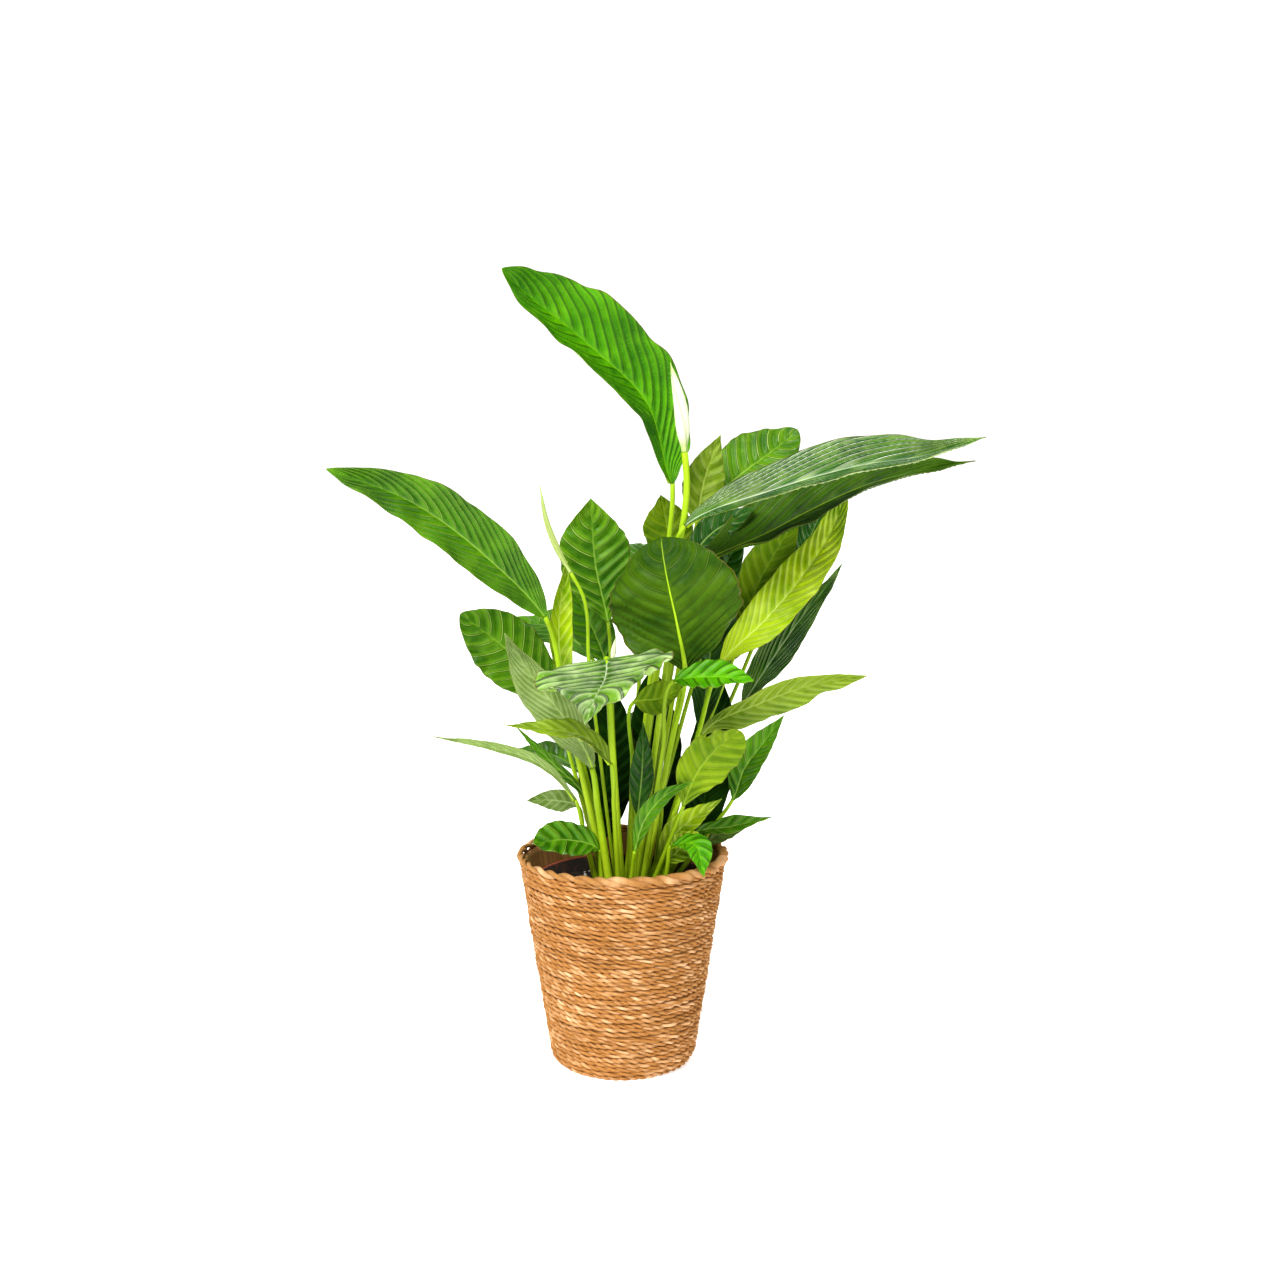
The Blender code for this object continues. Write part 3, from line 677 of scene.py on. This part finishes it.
KIND_OF = {"leaf_" + name: kind for kind, names in KINDS.items() for name in names.split()}


# A leaf's side veins and how far they run forward, where its length and width don't set them
SWEEPS = {
    "leaf_longest_right": (8, 0.85),
    "leaf_second_right": (9, 0.55),
    "leaf_right_twisted": (8, 0.7),
    "leaf_grey_left": (12, 0.5),
    "leaf_front_drooping": (10, 0.22),
    "leaf_tall_arching": (17, 0.32),
    "leaf_long_left": (16, 0.34),
}


# ---- Leaves -----------------------------------------------------------------------------------


def make_leaf(name, leaf, seed):
    rng = np.random.default_rng(seed)
    midrib = [on_rim(point) for point in leaf.midrib]
    dense = curve_through(stem_points(leaf, midrib[0]) + midrib, 400)
    neck = int(np.argmin(np.linalg.norm(dense - midrib[0], axis=1)))
    middle = neck + (len(dense) - neck) // 2
    sides, normals = frames_along(dense, leaf.face, middle)
    reach = np.linalg.norm(np.diff(dense[neck:], axis=0), axis=1).sum()
    usual = (np.clip(reach / 0.0125, 6, 22), max(0.2, 0.5 * leaf.width * MM * 0.85 / reach))
    veins, sweep = SWEEPS.get(name, usual)
    rows, columns = 60 + int(6 * veins), 61 if name in SWEEPS else 37
    at = np.linspace(neck, len(dense) - 1, rows)
    low = np.floor(at).astype(int)
    part = (at - low)[:, None]
    high = np.minimum(low + 1, len(dense) - 1)

    def read(values):
        return values[low] * (1 - part) + values[high] * part

    centre, side, normal = read(dense), read(sides), read(normals)
    t = np.linspace(0, 1, rows)[:, None]
    half = blade_share(t, leaf.peak, leaf.base, leaf.tip) * leaf.width * MM / 2
    half = np.maximum(half, np.where(t < 0.5, PETIOLE_NECK_RADIUS * leaf.stout, TIP_WIDTH / 2))
    s = np.linspace(-1, 1, columns)
    s = (np.sign(s) * np.abs(s) ** 1.15)[None, :]
    size = np.abs(s)
    broad = leaf.width * MM / 2
    q = veins * (t - sweep * size**1.35 * (1 - 0.35 * t)) + 0.5 * (s > 0)
    on_blade = smooth_step(0.03, 0.2, size) * (1 - smooth_step(0.85, 1.0, size))
    calm = smooth_step(0.0, 0.12, t) * (1 - smooth_step(0.9, 1.0, t))
    quilt = (np.abs(np.sin(math.pi * (q + 0.5))) ** 0.7 - 0.6) * on_blade * calm
    lift = -1.5 * leaf.cup * half * (1 - size**1.6)
    lift = lift + quilt * 0.0026 * np.sqrt(broad / 0.03)
    lift = lift - 0.0009 * np.exp(-((size * half / 0.0016) ** 2)) * calm
    wave = np.where(s > 0, drift(rng, rows, 7)[:, None], drift(rng, rows, 7)[:, None])
    lift = lift + wave * size**2.2 * broad * 0.13 * calm
    ragged = 1 + 0.035 * size**4 * np.where(
        s > 0, drift(rng, rows, 14)[:, None], drift(rng, rows, 14)[:, None]
    )
    spread = side[:, None] * (half * s * ragged)[..., None]
    top = centre[:, None] + spread + normal[:, None] * lift[..., None]
    along = np.gradient(top, axis=0)
    across = np.gradient(top, axis=1)
    out = np.cross(across, along)
    out /= np.maximum(np.linalg.norm(out, axis=2, keepdims=True), 1e-12)
    thick = BLADE_THICKNESS * (1 - 0.6 * size**6)[..., None]
    bottom = top - out * thick
    count = rows * columns
    faces = grid_faces(rows, columns) + grid_faces(rows, columns, start=count, flip=True)
    for i in range(rows - 1):
        a, b = i * columns, (i + 1) * columns
        faces.append([a, b, b + count, a + count])
        a, b = a + columns - 1, b + columns - 1
        faces.append([b, a, a + count, b + count])
    last = (rows - 1) * columns
    for j in range(columns - 1):
        faces.append([j + 1, j, j + count, j + 1 + count])
        faces.append([last + j, last + j + 1, last + j + 1 + count, last + j + count])
    build = Build()
    mid_mm = size * half / MM
    twice = {
        "vein_q": q,
        "mid_mm": mid_mm,
        "edge_s": np.broadcast_to(size, q.shape),
        "leaf_t": np.broadcast_to(t, q.shape),
    }
    build.add(
        np.concatenate([top.reshape(-1, 3), bottom.reshape(-1, 3)]),
        faces,
        under=np.repeat([0.0, 1.0], count),
        **{key: np.tile(value.ravel(), 2) for key, value in twice.items()},
    )
    tone = 0.0 if leaf.stout > 1 else rng.uniform(0, 0.8)
    add_petiole(build, dense[: neck + 1], sides[: neck + 1], normals[: neck + 1], leaf.stout, tone)
    ribbed = slice(0, rows - 4)
    rib = 0.0002 + (1.15 * PETIOLE_NECK_RADIUS * leaf.stout - 0.0002) * (1 - t[ribbed, 0]) ** 1.6
    depth = lift[ribbed, columns // 2] - BLADE_THICKNESS - 0.5 * rib
    rib_line = centre[ribbed] + normal[ribbed] * depth[:, None]
    build.tube(rib_line, side[ribbed], normal[ribbed], rib, slot=1, squash=0.8, ends=(0.6, 1))
    kind = LEAF_KINDS[KIND_OF.get(name, "deep")]
    return build.piece(name + "_look", [kind, STEMS], name)


def add_petiole(build, dense, sides, normals, stout, tone):
    """The petiole from the soil to the neck: sheathed at its foot, and slimmer as it rises."""
    at = np.rint(np.linspace(0, len(dense) - 1, STEM_ROWS)).astype(int)
    share = at / (len(dense) - 1)
    foot, neck = PETIOLE_FOOT_RADIUS * stout, PETIOLE_NECK_RADIUS * stout
    radii = foot + (neck - foot) * share
    around = np.tile(np.arange(TUBE_SIDES) / TUBE_SIDES * 6, STEM_ROWS)
    build.tube(dense[at], sides[at], normals[at], radii, slot=1, around=around, tone=tone)


# ---- Blooms -----------------------------------------------------------------------------------


def make_bloom(name, bloom):
    spathe = [on_rim(point) for point in bloom.spathe]
    heading = unit(spathe[1] - spathe[0])
    top = [spathe[0] - heading * RECEPTACLE, spathe[0] - heading * GAP]
    line = curve_through(stem_points(bloom, top[0]) + top, STEM_ROWS)
    sides, normals = frames_along(line, (0, -1, 0.1), STEM_ROWS // 2)
    stalk = Build()
    around = np.tile(np.arange(TUBE_SIDES) / TUBE_SIDES * 6, STEM_ROWS)
    stalk.tube(line, sides, normals, bloom.stalk_radius, around=around)
    stalk.piece(name + "_stalk_look", [STEMS], name + "_stalk")
    rows, columns = 60, 32
    line = curve_through(spathe, rows)
    sides, normals = frames_along(line, (0, -1, 0.1), rows // 2)
    t = np.linspace(0, 1, rows)
    radii = blade_share(t, 0.35, 0.6, 0.9) * bloom.width * MM / 2
    radii = np.maximum(radii, np.linspace(bloom.stalk_radius, TIP_WIDTH / 2, rows))
    turn = np.linspace(0, 2 * math.pi, columns, endpoint=False)[None, :]
    seam = 0.6 + 2.2 * t[:, None]
    lap = 1 - 0.16 * np.exp(-((np.angle(np.exp(1j * (turn - seam))) / 0.22) ** 2))
    reach = radii[:, None] * lap
    points = (
        line[:, None]
        + (np.cos(turn) * reach)[..., None] * sides[:, None]
        + (np.sin(turn) * reach)[..., None] * normals[:, None]
    )
    faces = grid_faces(rows, columns, closed=True, flip=True)
    last = (rows - 1) * columns
    faces.append(list(range(columns)))
    faces.append([last + k for k in reversed(range(columns))])
    hood = Build()
    hood.add(
        points,
        faces,
        leaf_t=np.repeat(t, columns),
        around=np.tile(turn.ravel(), rows),
        seam=(1 - lap).ravel() / 0.16,
    )
    hood.piece(name + "_spathe_look", [spathe_material(name)], name + "_spathe")


def spathe_material(name):
    """A closed spathe: cream white, greener at its base and tip, with long fine nerves."""
    n = Nodes(name + "_petal", 0.45)
    faded = name == "bloom_faded"
    white = (0.80, 0.83, 0.62) if not faded else (0.36, 0.44, 0.12)
    green = (0.42, 0.56, 0.16)
    long = n.vector(n.math("MULTIPLY", n.attribute("leaf_t"), 1.5), n.attribute("around"), 0.0)
    nerve = n.ramp(n.noise(7.0, 4.0, long), 0.35, 0.65)
    ends = n.ramp(n.math("ABSOLUTE", n.math("SUBTRACT", n.attribute("leaf_t"), 0.5)), 0.25, 0.5)
    body = n.mix(ends, white, green)
    body = n.mix(n.math("MULTIPLY", nerve, 0.3), body, green)
    # Painted shade: darker green in the groove where the spathe's edge laps over itself.
    body = n.mix(n.math("MULTIPLY", n.attribute("seam"), 0.5), body, [c * 0.5 for c in green])
    n.bump(nerve, 0.3, 0.0004)
    return n.finish(body)


# ---- Basket -----------------------------------------------------------------------------------

CORD_PLIES = 2
CORD_RADIUS = 0.0015
CORD_LAY = 0.0011  # from the cord's middle to the middle of each ply
CORD_INSET = 0.0024  # from the wall's outside to the cord's middle
CORD_TWIST = 0.020
ROW_PITCH = 0.0044
CORD_SIDES = 6
BASE_COIL_HEIGHT = 0.0027
BASE_COIL_HOLE = 0.006
ROPE_INSET = 0.0046
ROPE_PLY_RADIUS = 0.0025
ROPE_LAY = 0.0019
ROPE_TWIST = 0.036


def seagrass_material(name, light, mid, shade):
    """Dry twisted seagrass: tan fibres in long streaks, paler in long patches that are partly the
    grass's own tone and partly painted highlight, and painted shade in the hollows between the plies.
    """
    n = Nodes(name, 0.78)
    n.shader.inputs["Specular IOR Level"].default_value = 0.15
    along = n.attribute("cord_mm")
    around = n.attribute("around")
    long = n.vector(n.math("MULTIPLY", along, 0.05), around, n.attribute("strand"))
    fibre = n.noise(13.0, 5.0, long, 0.65)
    # Long patches towards the light tan: partly the grass's own paler tone, partly painted highlight.
    patch = n.noise(1.0, 3.0, n.vector(n.math("MULTIPLY", along, 0.035), 0.0, n.attribute("strand")))
    body = n.mix(n.ramp(fibre, 0.3, 0.7), shade, mid)
    body = n.mix(n.ramp(patch, 0.45, 0.75), body, light)
    body = n.mix(n.ramp(n.noise(35.0, 3.0), 0.5, 0.75, 0.0, 0.35), body, [c * 0.6 for c in mid])
    # Painted shade: a ply is darkened where it dips in behind the other ply, towards the wall.
    inner = n.attribute("inner")
    body = n.mix(n.math("MULTIPLY", inner, 0.35), body, [c * 0.45 for c in shade])
    n.bump(fibre, 0.8, 0.0006)
    return n.finish(body, n.ramp(fibre, 0.2, 0.8, 0.68, 0.9))


SEAGRASS = seagrass_material("seagrass", (0.90, 0.58, 0.32), (0.60, 0.30, 0.095), (0.30, 0.12, 0.028))
SEAGRASS_ROPE = seagrass_material("rope", (0.84, 0.54, 0.30), (0.56, 0.29, 0.10), (0.28, 0.12, 0.03))
# A darker copy of the same seagrass: painted shade for the inner layer that shows through the gaps
# between the cords and inside the wall.
LINER = seagrass_material("weave_core_painted_shade", (0.55, 0.33, 0.14), (0.36, 0.19, 0.07), (0.18, 0.08, 0.03))


def wall_radius(z):
    """The outer radius of the basket's wall at a height, rounded under at its foot."""
    slope = (WALL_TOP_RADIUS - BASE_RADIUS) / (WALL_TOP_Z - BASE_CORNER)
    straight = BASE_RADIUS + slope * (z - BASE_CORNER)
    drop = np.clip((BASE_CORNER - z) / BASE_CORNER, 0, 1)
    turned_in = BASE_RADIUS - BASE_CORNER * (1 - np.sqrt(1 - drop**2))
    return np.where(z > BASE_CORNER, straight, turned_in)


def ring_cord(
    build, radius, height, plies, ply_radius, lay, twist, strand, rng, sides=CORD_SIDES, slot=0
):
    """One ring of twisted cord: its plies wind round each other along a wavering circle."""
    count = int(2 * math.pi * radius / (twist / 14))
    turns = max(1, round(2 * math.pi * radius / twist))
    bearing = np.linspace(0, 2 * math.pi, count, endpoint=False)
    waver = drift(rng, count, 24, closed=True)
    sag = drift(rng, count, 12, closed=True)
    start = rng.uniform(0, 2 * math.pi)
    swell = 1 + 0.14 * drift(rng, count, 60, closed=True)
    outward = np.stack([np.cos(bearing), np.sin(bearing), np.zeros(count)], axis=1)
    upward = np.broadcast_to([0.0, 0.0, 1.0], outward.shape)
    slip = 0.9 * drift(rng, count, 26, closed=True)
    for ply in range(plies):
        phase = start - turns * bearing + slip + ply * 2 * math.pi / plies
        reach = radius + 0.00035 * waver + lay * np.cos(phase)
        rise = height + 0.0007 * sag + lay * np.sin(phase)
        line = outward * reach[:, None] + upward * rise[:, None]
        ahead = np.roll(line, -1, axis=0) - np.roll(line, 1, axis=0)
        ahead /= np.linalg.norm(ahead, axis=1)[:, None]
        up = np.cross(outward, ahead)
        up /= np.linalg.norm(up, axis=1)[:, None]
        out = np.cross(ahead, up)
        turn = np.linspace(0, 2 * math.pi, sides, endpoint=False)
        ring = np.cos(turn)[None, :, None] * out[:, None] + np.sin(turn)[None, :, None] * up[:, None]
        points = line[:, None] + ring * (ply_radius * swell)[:, None, None]
        points[..., 2] = np.maximum(points[..., 2], 0.0002)
        faces = np.array(grid_faces(count + 1, sides, closed=True)) % (count * sides)
        around = np.tile(turn, count)
        # Painted shade mask: 1 where the ply turns in towards the wall, into the hollow between the
        # plies.
        painted_hollow_shade = np.repeat(0.5 - 0.5 * np.cos(phase), sides)
        along = np.repeat(bearing * radius / MM, sides)
        shade = {"cord_mm": along, "strand": strand + ply * 7.3, "inner": painted_hollow_shade}
        build.add(points, faces.tolist(), slot, around=around, **shade)


def make_weave():
    rng = np.random.default_rng(11)
    rows = int((WALL_TOP_Z - 0.004) / ROW_PITCH)
    heights = np.linspace(0.0034, WALL_TOP_Z - 0.001, rows)
    names = ("lower", "middle", "upper")
    for part, some in enumerate(np.array_split(np.arange(rows), len(names))):
        build = Build()
        for row in some:
            radius = float(wall_radius(heights[row])) - CORD_INSET
            twist = CORD_TWIST * rng.uniform(0.75, 1.35)
            shape = (CORD_PLIES, CORD_RADIUS, CORD_LAY, twist)
            ring_cord(build, radius, heights[row], *shape, row * 3.1, rng)
        build.piece("basket_weave_" + names[part], [SEAGRASS], "seagrass_basket")


def make_liner():
    """The tight inner layer of the weave and the basket's floor, which close the gaps in the cords."""
    build = Build()
    steps = 160
    heights = np.concatenate([np.linspace(0.0016, 0.014, 8), np.linspace(0.02, WALL_TOP_Z, 30)])
    outer = [(float(wall_radius(z)) - 0.0030, z) for z in heights]
    inner = [(float(wall_radius(max(z, 0.006))) - 0.0055, max(z, 0.0056)) for z in heights[::-1]]
    profile = [(0.0001, 0.0012)] + outer + inner + [(0.0001, 0.0056)]
    turn = np.linspace(0, 2 * math.pi, steps, endpoint=False)
    points = [[(r * math.cos(a), r * math.sin(a), z) for a in turn] for r, z in profile]
    faces = grid_faces(len(profile), steps, closed=True)
    faces.append(list(reversed(range(steps))))
    last = (len(profile) - 1) * steps
    faces.append([last + k for k in range(steps)])
    around = np.tile(turn, len(profile))
    build.add(points, faces, cord_mm=np.tile(turn * 80, len(profile)), around=around)
    build.piece("basket_core", [LINER], "seagrass_basket")


def make_base_coil():
    """The underside: one flat coil of the same cord, ring inside ring."""
    rng = np.random.default_rng(12)
    build = Build()
    reach = BASE_RADIUS - BASE_CORNER
    for k in range(int(reach / ROW_PITCH)):
        radius = reach - 0.001 - k * ROW_PITCH
        if radius > BASE_COIL_HOLE:
            shape = (CORD_PLIES, CORD_RADIUS, CORD_LAY, CORD_TWIST)
            ring_cord(build, radius, BASE_COIL_HEIGHT, *shape, 300 + k, rng, sides=5)
    build.piece("basket_base_coil", [SEAGRASS], "seagrass_basket")


def make_loose_fibres():
    """Fibres that have come out of the cords and lie on the wall, a little proud of it."""
    rng = np.random.default_rng(14)
    build = Build()
    for k in range(190):
        z = rng.uniform(0.012, WALL_TOP_Z - 0.004)
        start = rng.uniform(0, 2 * math.pi)
        length = rng.uniform(0.008, 0.03)
        steps = np.linspace(0, 1, 14)
        bend = 0.0015 * np.sin(steps * rng.uniform(2, 7))
        rise = z + length * rng.uniform(-0.45, 0.25) * steps + bend
        rise = np.clip(rise, 0.006, WALL_TOP_Z)
        reach = wall_radius(rise) + 0.0002 + np.sin(steps * math.pi) * rng.uniform(0.0002, 0.0022)
        bearing = start + steps * length / 0.09
        line = np.stack([reach * np.cos(bearing), reach * np.sin(bearing), rise], axis=1)
        sides, normals = frames_along(line, (0.1, 0.1, 1), 7)
        radii = rng.uniform(0.00015, 0.00032) * (1 - 0.5 * steps)
        shade = {"cord_mm": k * 13.0, "strand": k * 1.7, "inner": 0.0}
        build.tube(line, sides, normals, radii, **shade)
    build.piece("basket_loose_fibres", [SEAGRASS], "seagrass_basket")


def make_rope_rim():
    rng = np.random.default_rng(13)
    build = Build()
    height = BASKET_HEIGHT - ROPE_HEIGHT / 2
    shape = (CORD_PLIES, ROPE_PLY_RADIUS, ROPE_LAY, ROPE_TWIST)
    ring_cord(build, RIM_RADIUS - ROPE_INSET, height, *shape, 900.0, rng, sides=14)
    build.piece("basket_rope_rim_look", [SEAGRASS_ROPE], "basket_rope_rim")


# ---- Pot and soil -----------------------------------------------------------------------------


def pot_material():
    n = Nodes("pot_plastic_look", 0.45)
    dust = n.ramp(n.noise(70.0, 4.0), 0.45, 0.7)
    body = n.mix(n.math("MULTIPLY", dust, 0.4), (0.27, 0.055, 0.025), (0.12, 0.045, 0.03))
    n.bump(n.noise(400.0, 2.0), 0.2, 0.0003)
    return n.finish(body, n.ramp(n.noise(40.0, 3.0), 0.3, 0.7, 0.38, 0.62))


def dark_inside_material():
    """The pot's inner side: near black, clouded with dark brown, much darker than its outside."""
    n = Nodes("pot_inside", 0.85)
    body = n.mix(n.ramp(n.noise(90.0, 4.0), 0.45, 0.75), (0.020, 0.012, 0.009), (0.10, 0.03, 0.018))
    n.bump(n.noise(300.0, 4.0), 0.5, 0.0008)
    return n.finish(body)


def make_pot():
    build = Build()
    steps = 128
    top = POT_LIP_RADIUS - 0.0014
    base = BASE_RADIUS - BASE_CORNER - 0.001
    z = POT_LIP_Z
    profile = [
        (0.0001, POT_BASE_Z + 0.0016),
        (base - 0.0016, POT_BASE_Z + 0.0016),
        (top - 0.0016, z - 0.0008),
        (top - 0.0008, z),
        (POT_LIP_RADIUS - 0.0008, z),
        (POT_LIP_RADIUS, z - 0.0008),
        (POT_LIP_RADIUS - 0.0004, z - 0.008),
        (top, z - 0.0082),
        (base, POT_BASE_Z),
        (0.0001, POT_BASE_Z),
    ]
    turn = np.linspace(0, 2 * math.pi, steps, endpoint=False)
    points = [[(r * math.cos(a), r * math.sin(a), h) for a in turn] for r, h in profile]
    faces = grid_faces(len(profile), steps, closed=True, flip=True)
    faces.append(list(range(steps)))
    last = (len(profile) - 1) * steps
    faces.append([last + k for k in reversed(range(steps))])
    build.add(points, faces)
    build.slots[: 2 * steps] = [1] * (2 * steps)
    made = build.piece("nursery_pot_look", [pot_material(), dark_inside_material()], "nursery_pot")
    made.data.set_sharp_from_angle(angle=math.radians(40))


def soil_material(name, dark, light, share):
    n = Nodes(name, 0.9)
    grain = n.noise(420.0, 5.0, rough=0.7)
    clod = n.noise(120.0, 4.0)
    body = n.mix(n.ramp(grain, 0.35, 0.7), dark, light)
    body = n.mix(n.ramp(clod, 0.5, 0.7, 0.0, share), body, [c * 2.2 for c in light])
    n.bump(grain, 0.9, 0.0015)
    return n.finish(body, n.ramp(clod, 0.3, 0.7, 0.7, 0.98))


def rock(rng, centre, size, slot, build):
    """A small lump: an octahedron split once, with every point pushed in or out a little."""
    points = LUMP_POINTS * size * rng.uniform(0.65, 1.25, (len(LUMP_POINTS), 1))
    points = points * rng.uniform(0.6, 1.3, 3)
    turn = rng.uniform(0, 2 * math.pi)
    cosine, sine = math.cos(turn), math.sin(turn)
    spin = np.array([[cosine, -sine, 0], [sine, cosine, 0], [0, 0, 1]])
    build.add(points @ spin.T + centre, LUMP_FACES, slot)


def split_octahedron():
    points = [(1, 0, 0), (-1, 0, 0), (0, 1, 0), (0, -1, 0), (0, 0, 1), (0, 0, -1)]
    faces = []
    middles = {}

    def middle(a, b):
        key = (min(a, b), max(a, b))
        if key not in middles:
            middles[key] = len(points)
            points.append(tuple(unit(np.array(points[a]) + np.array(points[b]))))
        return middles[key]

    for x in (0, 1):
        for y in (2, 3):
            for z in (4, 5):
                face = (x, y, z) if (x + y + z) % 2 == 0 else (y, x, z)
                a, b, c = face
                ab, bc, ca = middle(a, b), middle(b, c), middle(c, a)
                faces += [[a, ab, ca], [b, bc, ab], [c, ca, bc], [ab, bc, ca]]
    return np.array(points, float), faces


LUMP_POINTS, LUMP_FACES = split_octahedron()


def make_soil():
    rng = np.random.default_rng(21)
    build = Build()
    rings, steps = 60, 180
    radius = SOIL_RADIUS - 0.0002
    reach = np.linspace(0.0005, radius, rings)
    turn = np.linspace(0, 2 * math.pi, steps, endpoint=False)
    x = reach[:, None] * np.cos(turn)
    y = reach[:, None] * np.sin(turn)
    z = np.full(x.shape, SOIL_Z - 0.0012)
    for k in range(26):
        heading = rng.uniform(0, 2 * math.pi)
        pitch = rng.uniform(180, 1300)
        wave = np.sin((x * math.cos(heading) + y * math.sin(heading)) * pitch + rng.uniform(0, 6))
        z = z + wave * 0.22 * MM * (300 / pitch) ** 0.3
    z = np.minimum(z, SOIL_Z + 0.0015)
    points = np.stack([x, y, z], axis=-1)
    skirt = np.stack([x[-1], y[-1], np.full(steps, SOIL_Z - 0.012)], axis=-1)[None]
    points = np.concatenate([points, skirt])
    faces = grid_faces(rings + 1, steps, closed=True, flip=False)
    faces.append(list(reversed(range(steps))))
    last = rings * steps
    faces.append([last + k for k in range(steps)])
    build.add(points, faces)
    for k in range(900):
        spread = radius * math.sqrt(rng.uniform(0, 1)) * 0.98
        bearing = rng.uniform(0, 2 * math.pi)
        size = rng.gamma(3.0, 0.00045)
        slot = 2 if rng.uniform() < 0.07 else 1 if rng.uniform() < 0.35 else 0
        size = min(size, 0.0030)
        place = (spread * math.cos(bearing), spread * math.sin(bearing), SOIL_Z - 0.0004)
        rock(rng, np.array(place), size, slot, build)
    materials = [
        soil_material("soil_dark", (0.008, 0.005, 0.004), (0.030, 0.019, 0.013), 0.3),
        soil_material("bark", (0.030, 0.016, 0.009), (0.075, 0.042, 0.022), 0.4),
        soil_material("perlite", (0.34, 0.31, 0.27), (0.55, 0.52, 0.46), 0.2),
    ]
    build.piece("potting_soil_look", materials, "potting_soil")


# ---- Stage, light and camera ------------------------------------------------------------------


def make_stage():
    """A white floor that gives a little light, which keeps the shadow on it faint."""
    bpy.ops.mesh.primitive_plane_add(size=14, location=(0, 0, 0))
    floor = bpy.context.object
    floor.name = "floor"
    n = Nodes("floor_paint", 0.75)
    tone = n.ramp(n.noise(3.0, 2.0), 0.3, 0.7)
    n.shader.inputs["Emission Color"].default_value = (1, 1, 1, 1)
    n.shader.inputs["Emission Strength"].default_value = 0.45
    floor.data.materials.append(n.finish(n.mix(tone, (0.90, 0.90, 0.895), (0.92, 0.92, 0.915))))


def add_light(name, place, target, size, power):
    data = bpy.data.lights.new(name, "AREA")
    data.shape = "DISK"
    data.size = size
    data.energy = power
    lamp = bpy.data.objects.new(name, data)
    bpy.context.scene.collection.objects.link(lamp)
    lamp.location = place
    heading = np.array(target) - np.array(place)
    yaw = math.atan2(heading[0], -heading[1])
    pitch = math.atan2(math.hypot(heading[0], heading[1]), -heading[2])
    lamp.rotation_euler = Euler((pitch, 0, math.pi + yaw), "XYZ")


def make_light():
    """A white surround, dimmer as light than it looks, one large soft sun and two soft lamps."""
    world = bpy.data.worlds.new("studio")
    world.use_nodes = True
    nodes, links = world.node_tree.nodes, world.node_tree.links
    seen, sky = nodes["Background"], nodes.new("ShaderNodeBackground")
    path, mix = nodes.new("ShaderNodeLightPath"), nodes.new("ShaderNodeMixShader")
    for background, strength in ((seen, 1.0), (sky, 0.38)):
        background.inputs["Color"].default_value = (1, 1, 1, 1)
        background.inputs["Strength"].default_value = strength
    links.new(path.outputs["Is Camera Ray"], mix.inputs[0])
    links.new(sky.outputs[0], mix.inputs[1])
    links.new(seen.outputs[0], mix.inputs[2])
    links.new(mix.outputs[0], nodes["World Output"].inputs["Surface"])
    bpy.context.scene.world = world
    data = bpy.data.lights.new("sun", "SUN")
    data.energy = 3.5
    data.angle = math.radians(34)
    sun = bpy.data.objects.new("sun", data)
    sun.rotation_euler = (math.radians(42), 0, math.radians(-28))
    bpy.context.scene.collection.objects.link(sun)
    add_light("front", (0.9, -1.9, 0.9), (0, 0, 0.3), 0.9, 9)
    add_light("back", (0.9, 1.5, 1.6), (0, 0, 0.4), 0.9, 14)


CAMERA_PLACE = (0.016, -1.603, 0.645)
CAMERA_PITCH = 8.6
CAMERA_LENS = 49.25


def make_camera():
    data = bpy.data.cameras.new("camera")
    data.lens = CAMERA_LENS
    data.sensor_width = 36
    camera = bpy.data.objects.new("camera", data)
    camera.location = CAMERA_PLACE
    camera.rotation_euler = (math.radians(90 - CAMERA_PITCH), 0, 0)
    bpy.context.scene.collection.objects.link(camera)
    bpy.context.scene.camera = camera
    bpy.context.scene.view_settings.view_transform = "Standard"
    bpy.context.scene.view_settings.look = "Medium High Contrast"


make_camera()
make_light()
make_stage()
make_liner()
make_weave()
make_base_coil()
make_loose_fibres()
make_rope_rim()
make_pot()
make_soil()
for number, (name, leaf) in enumerate(LEAVES.items()):
    make_leaf(name, leaf, number)
for name, bloom in BLOOMS.items():
    make_bloom(name, bloom)
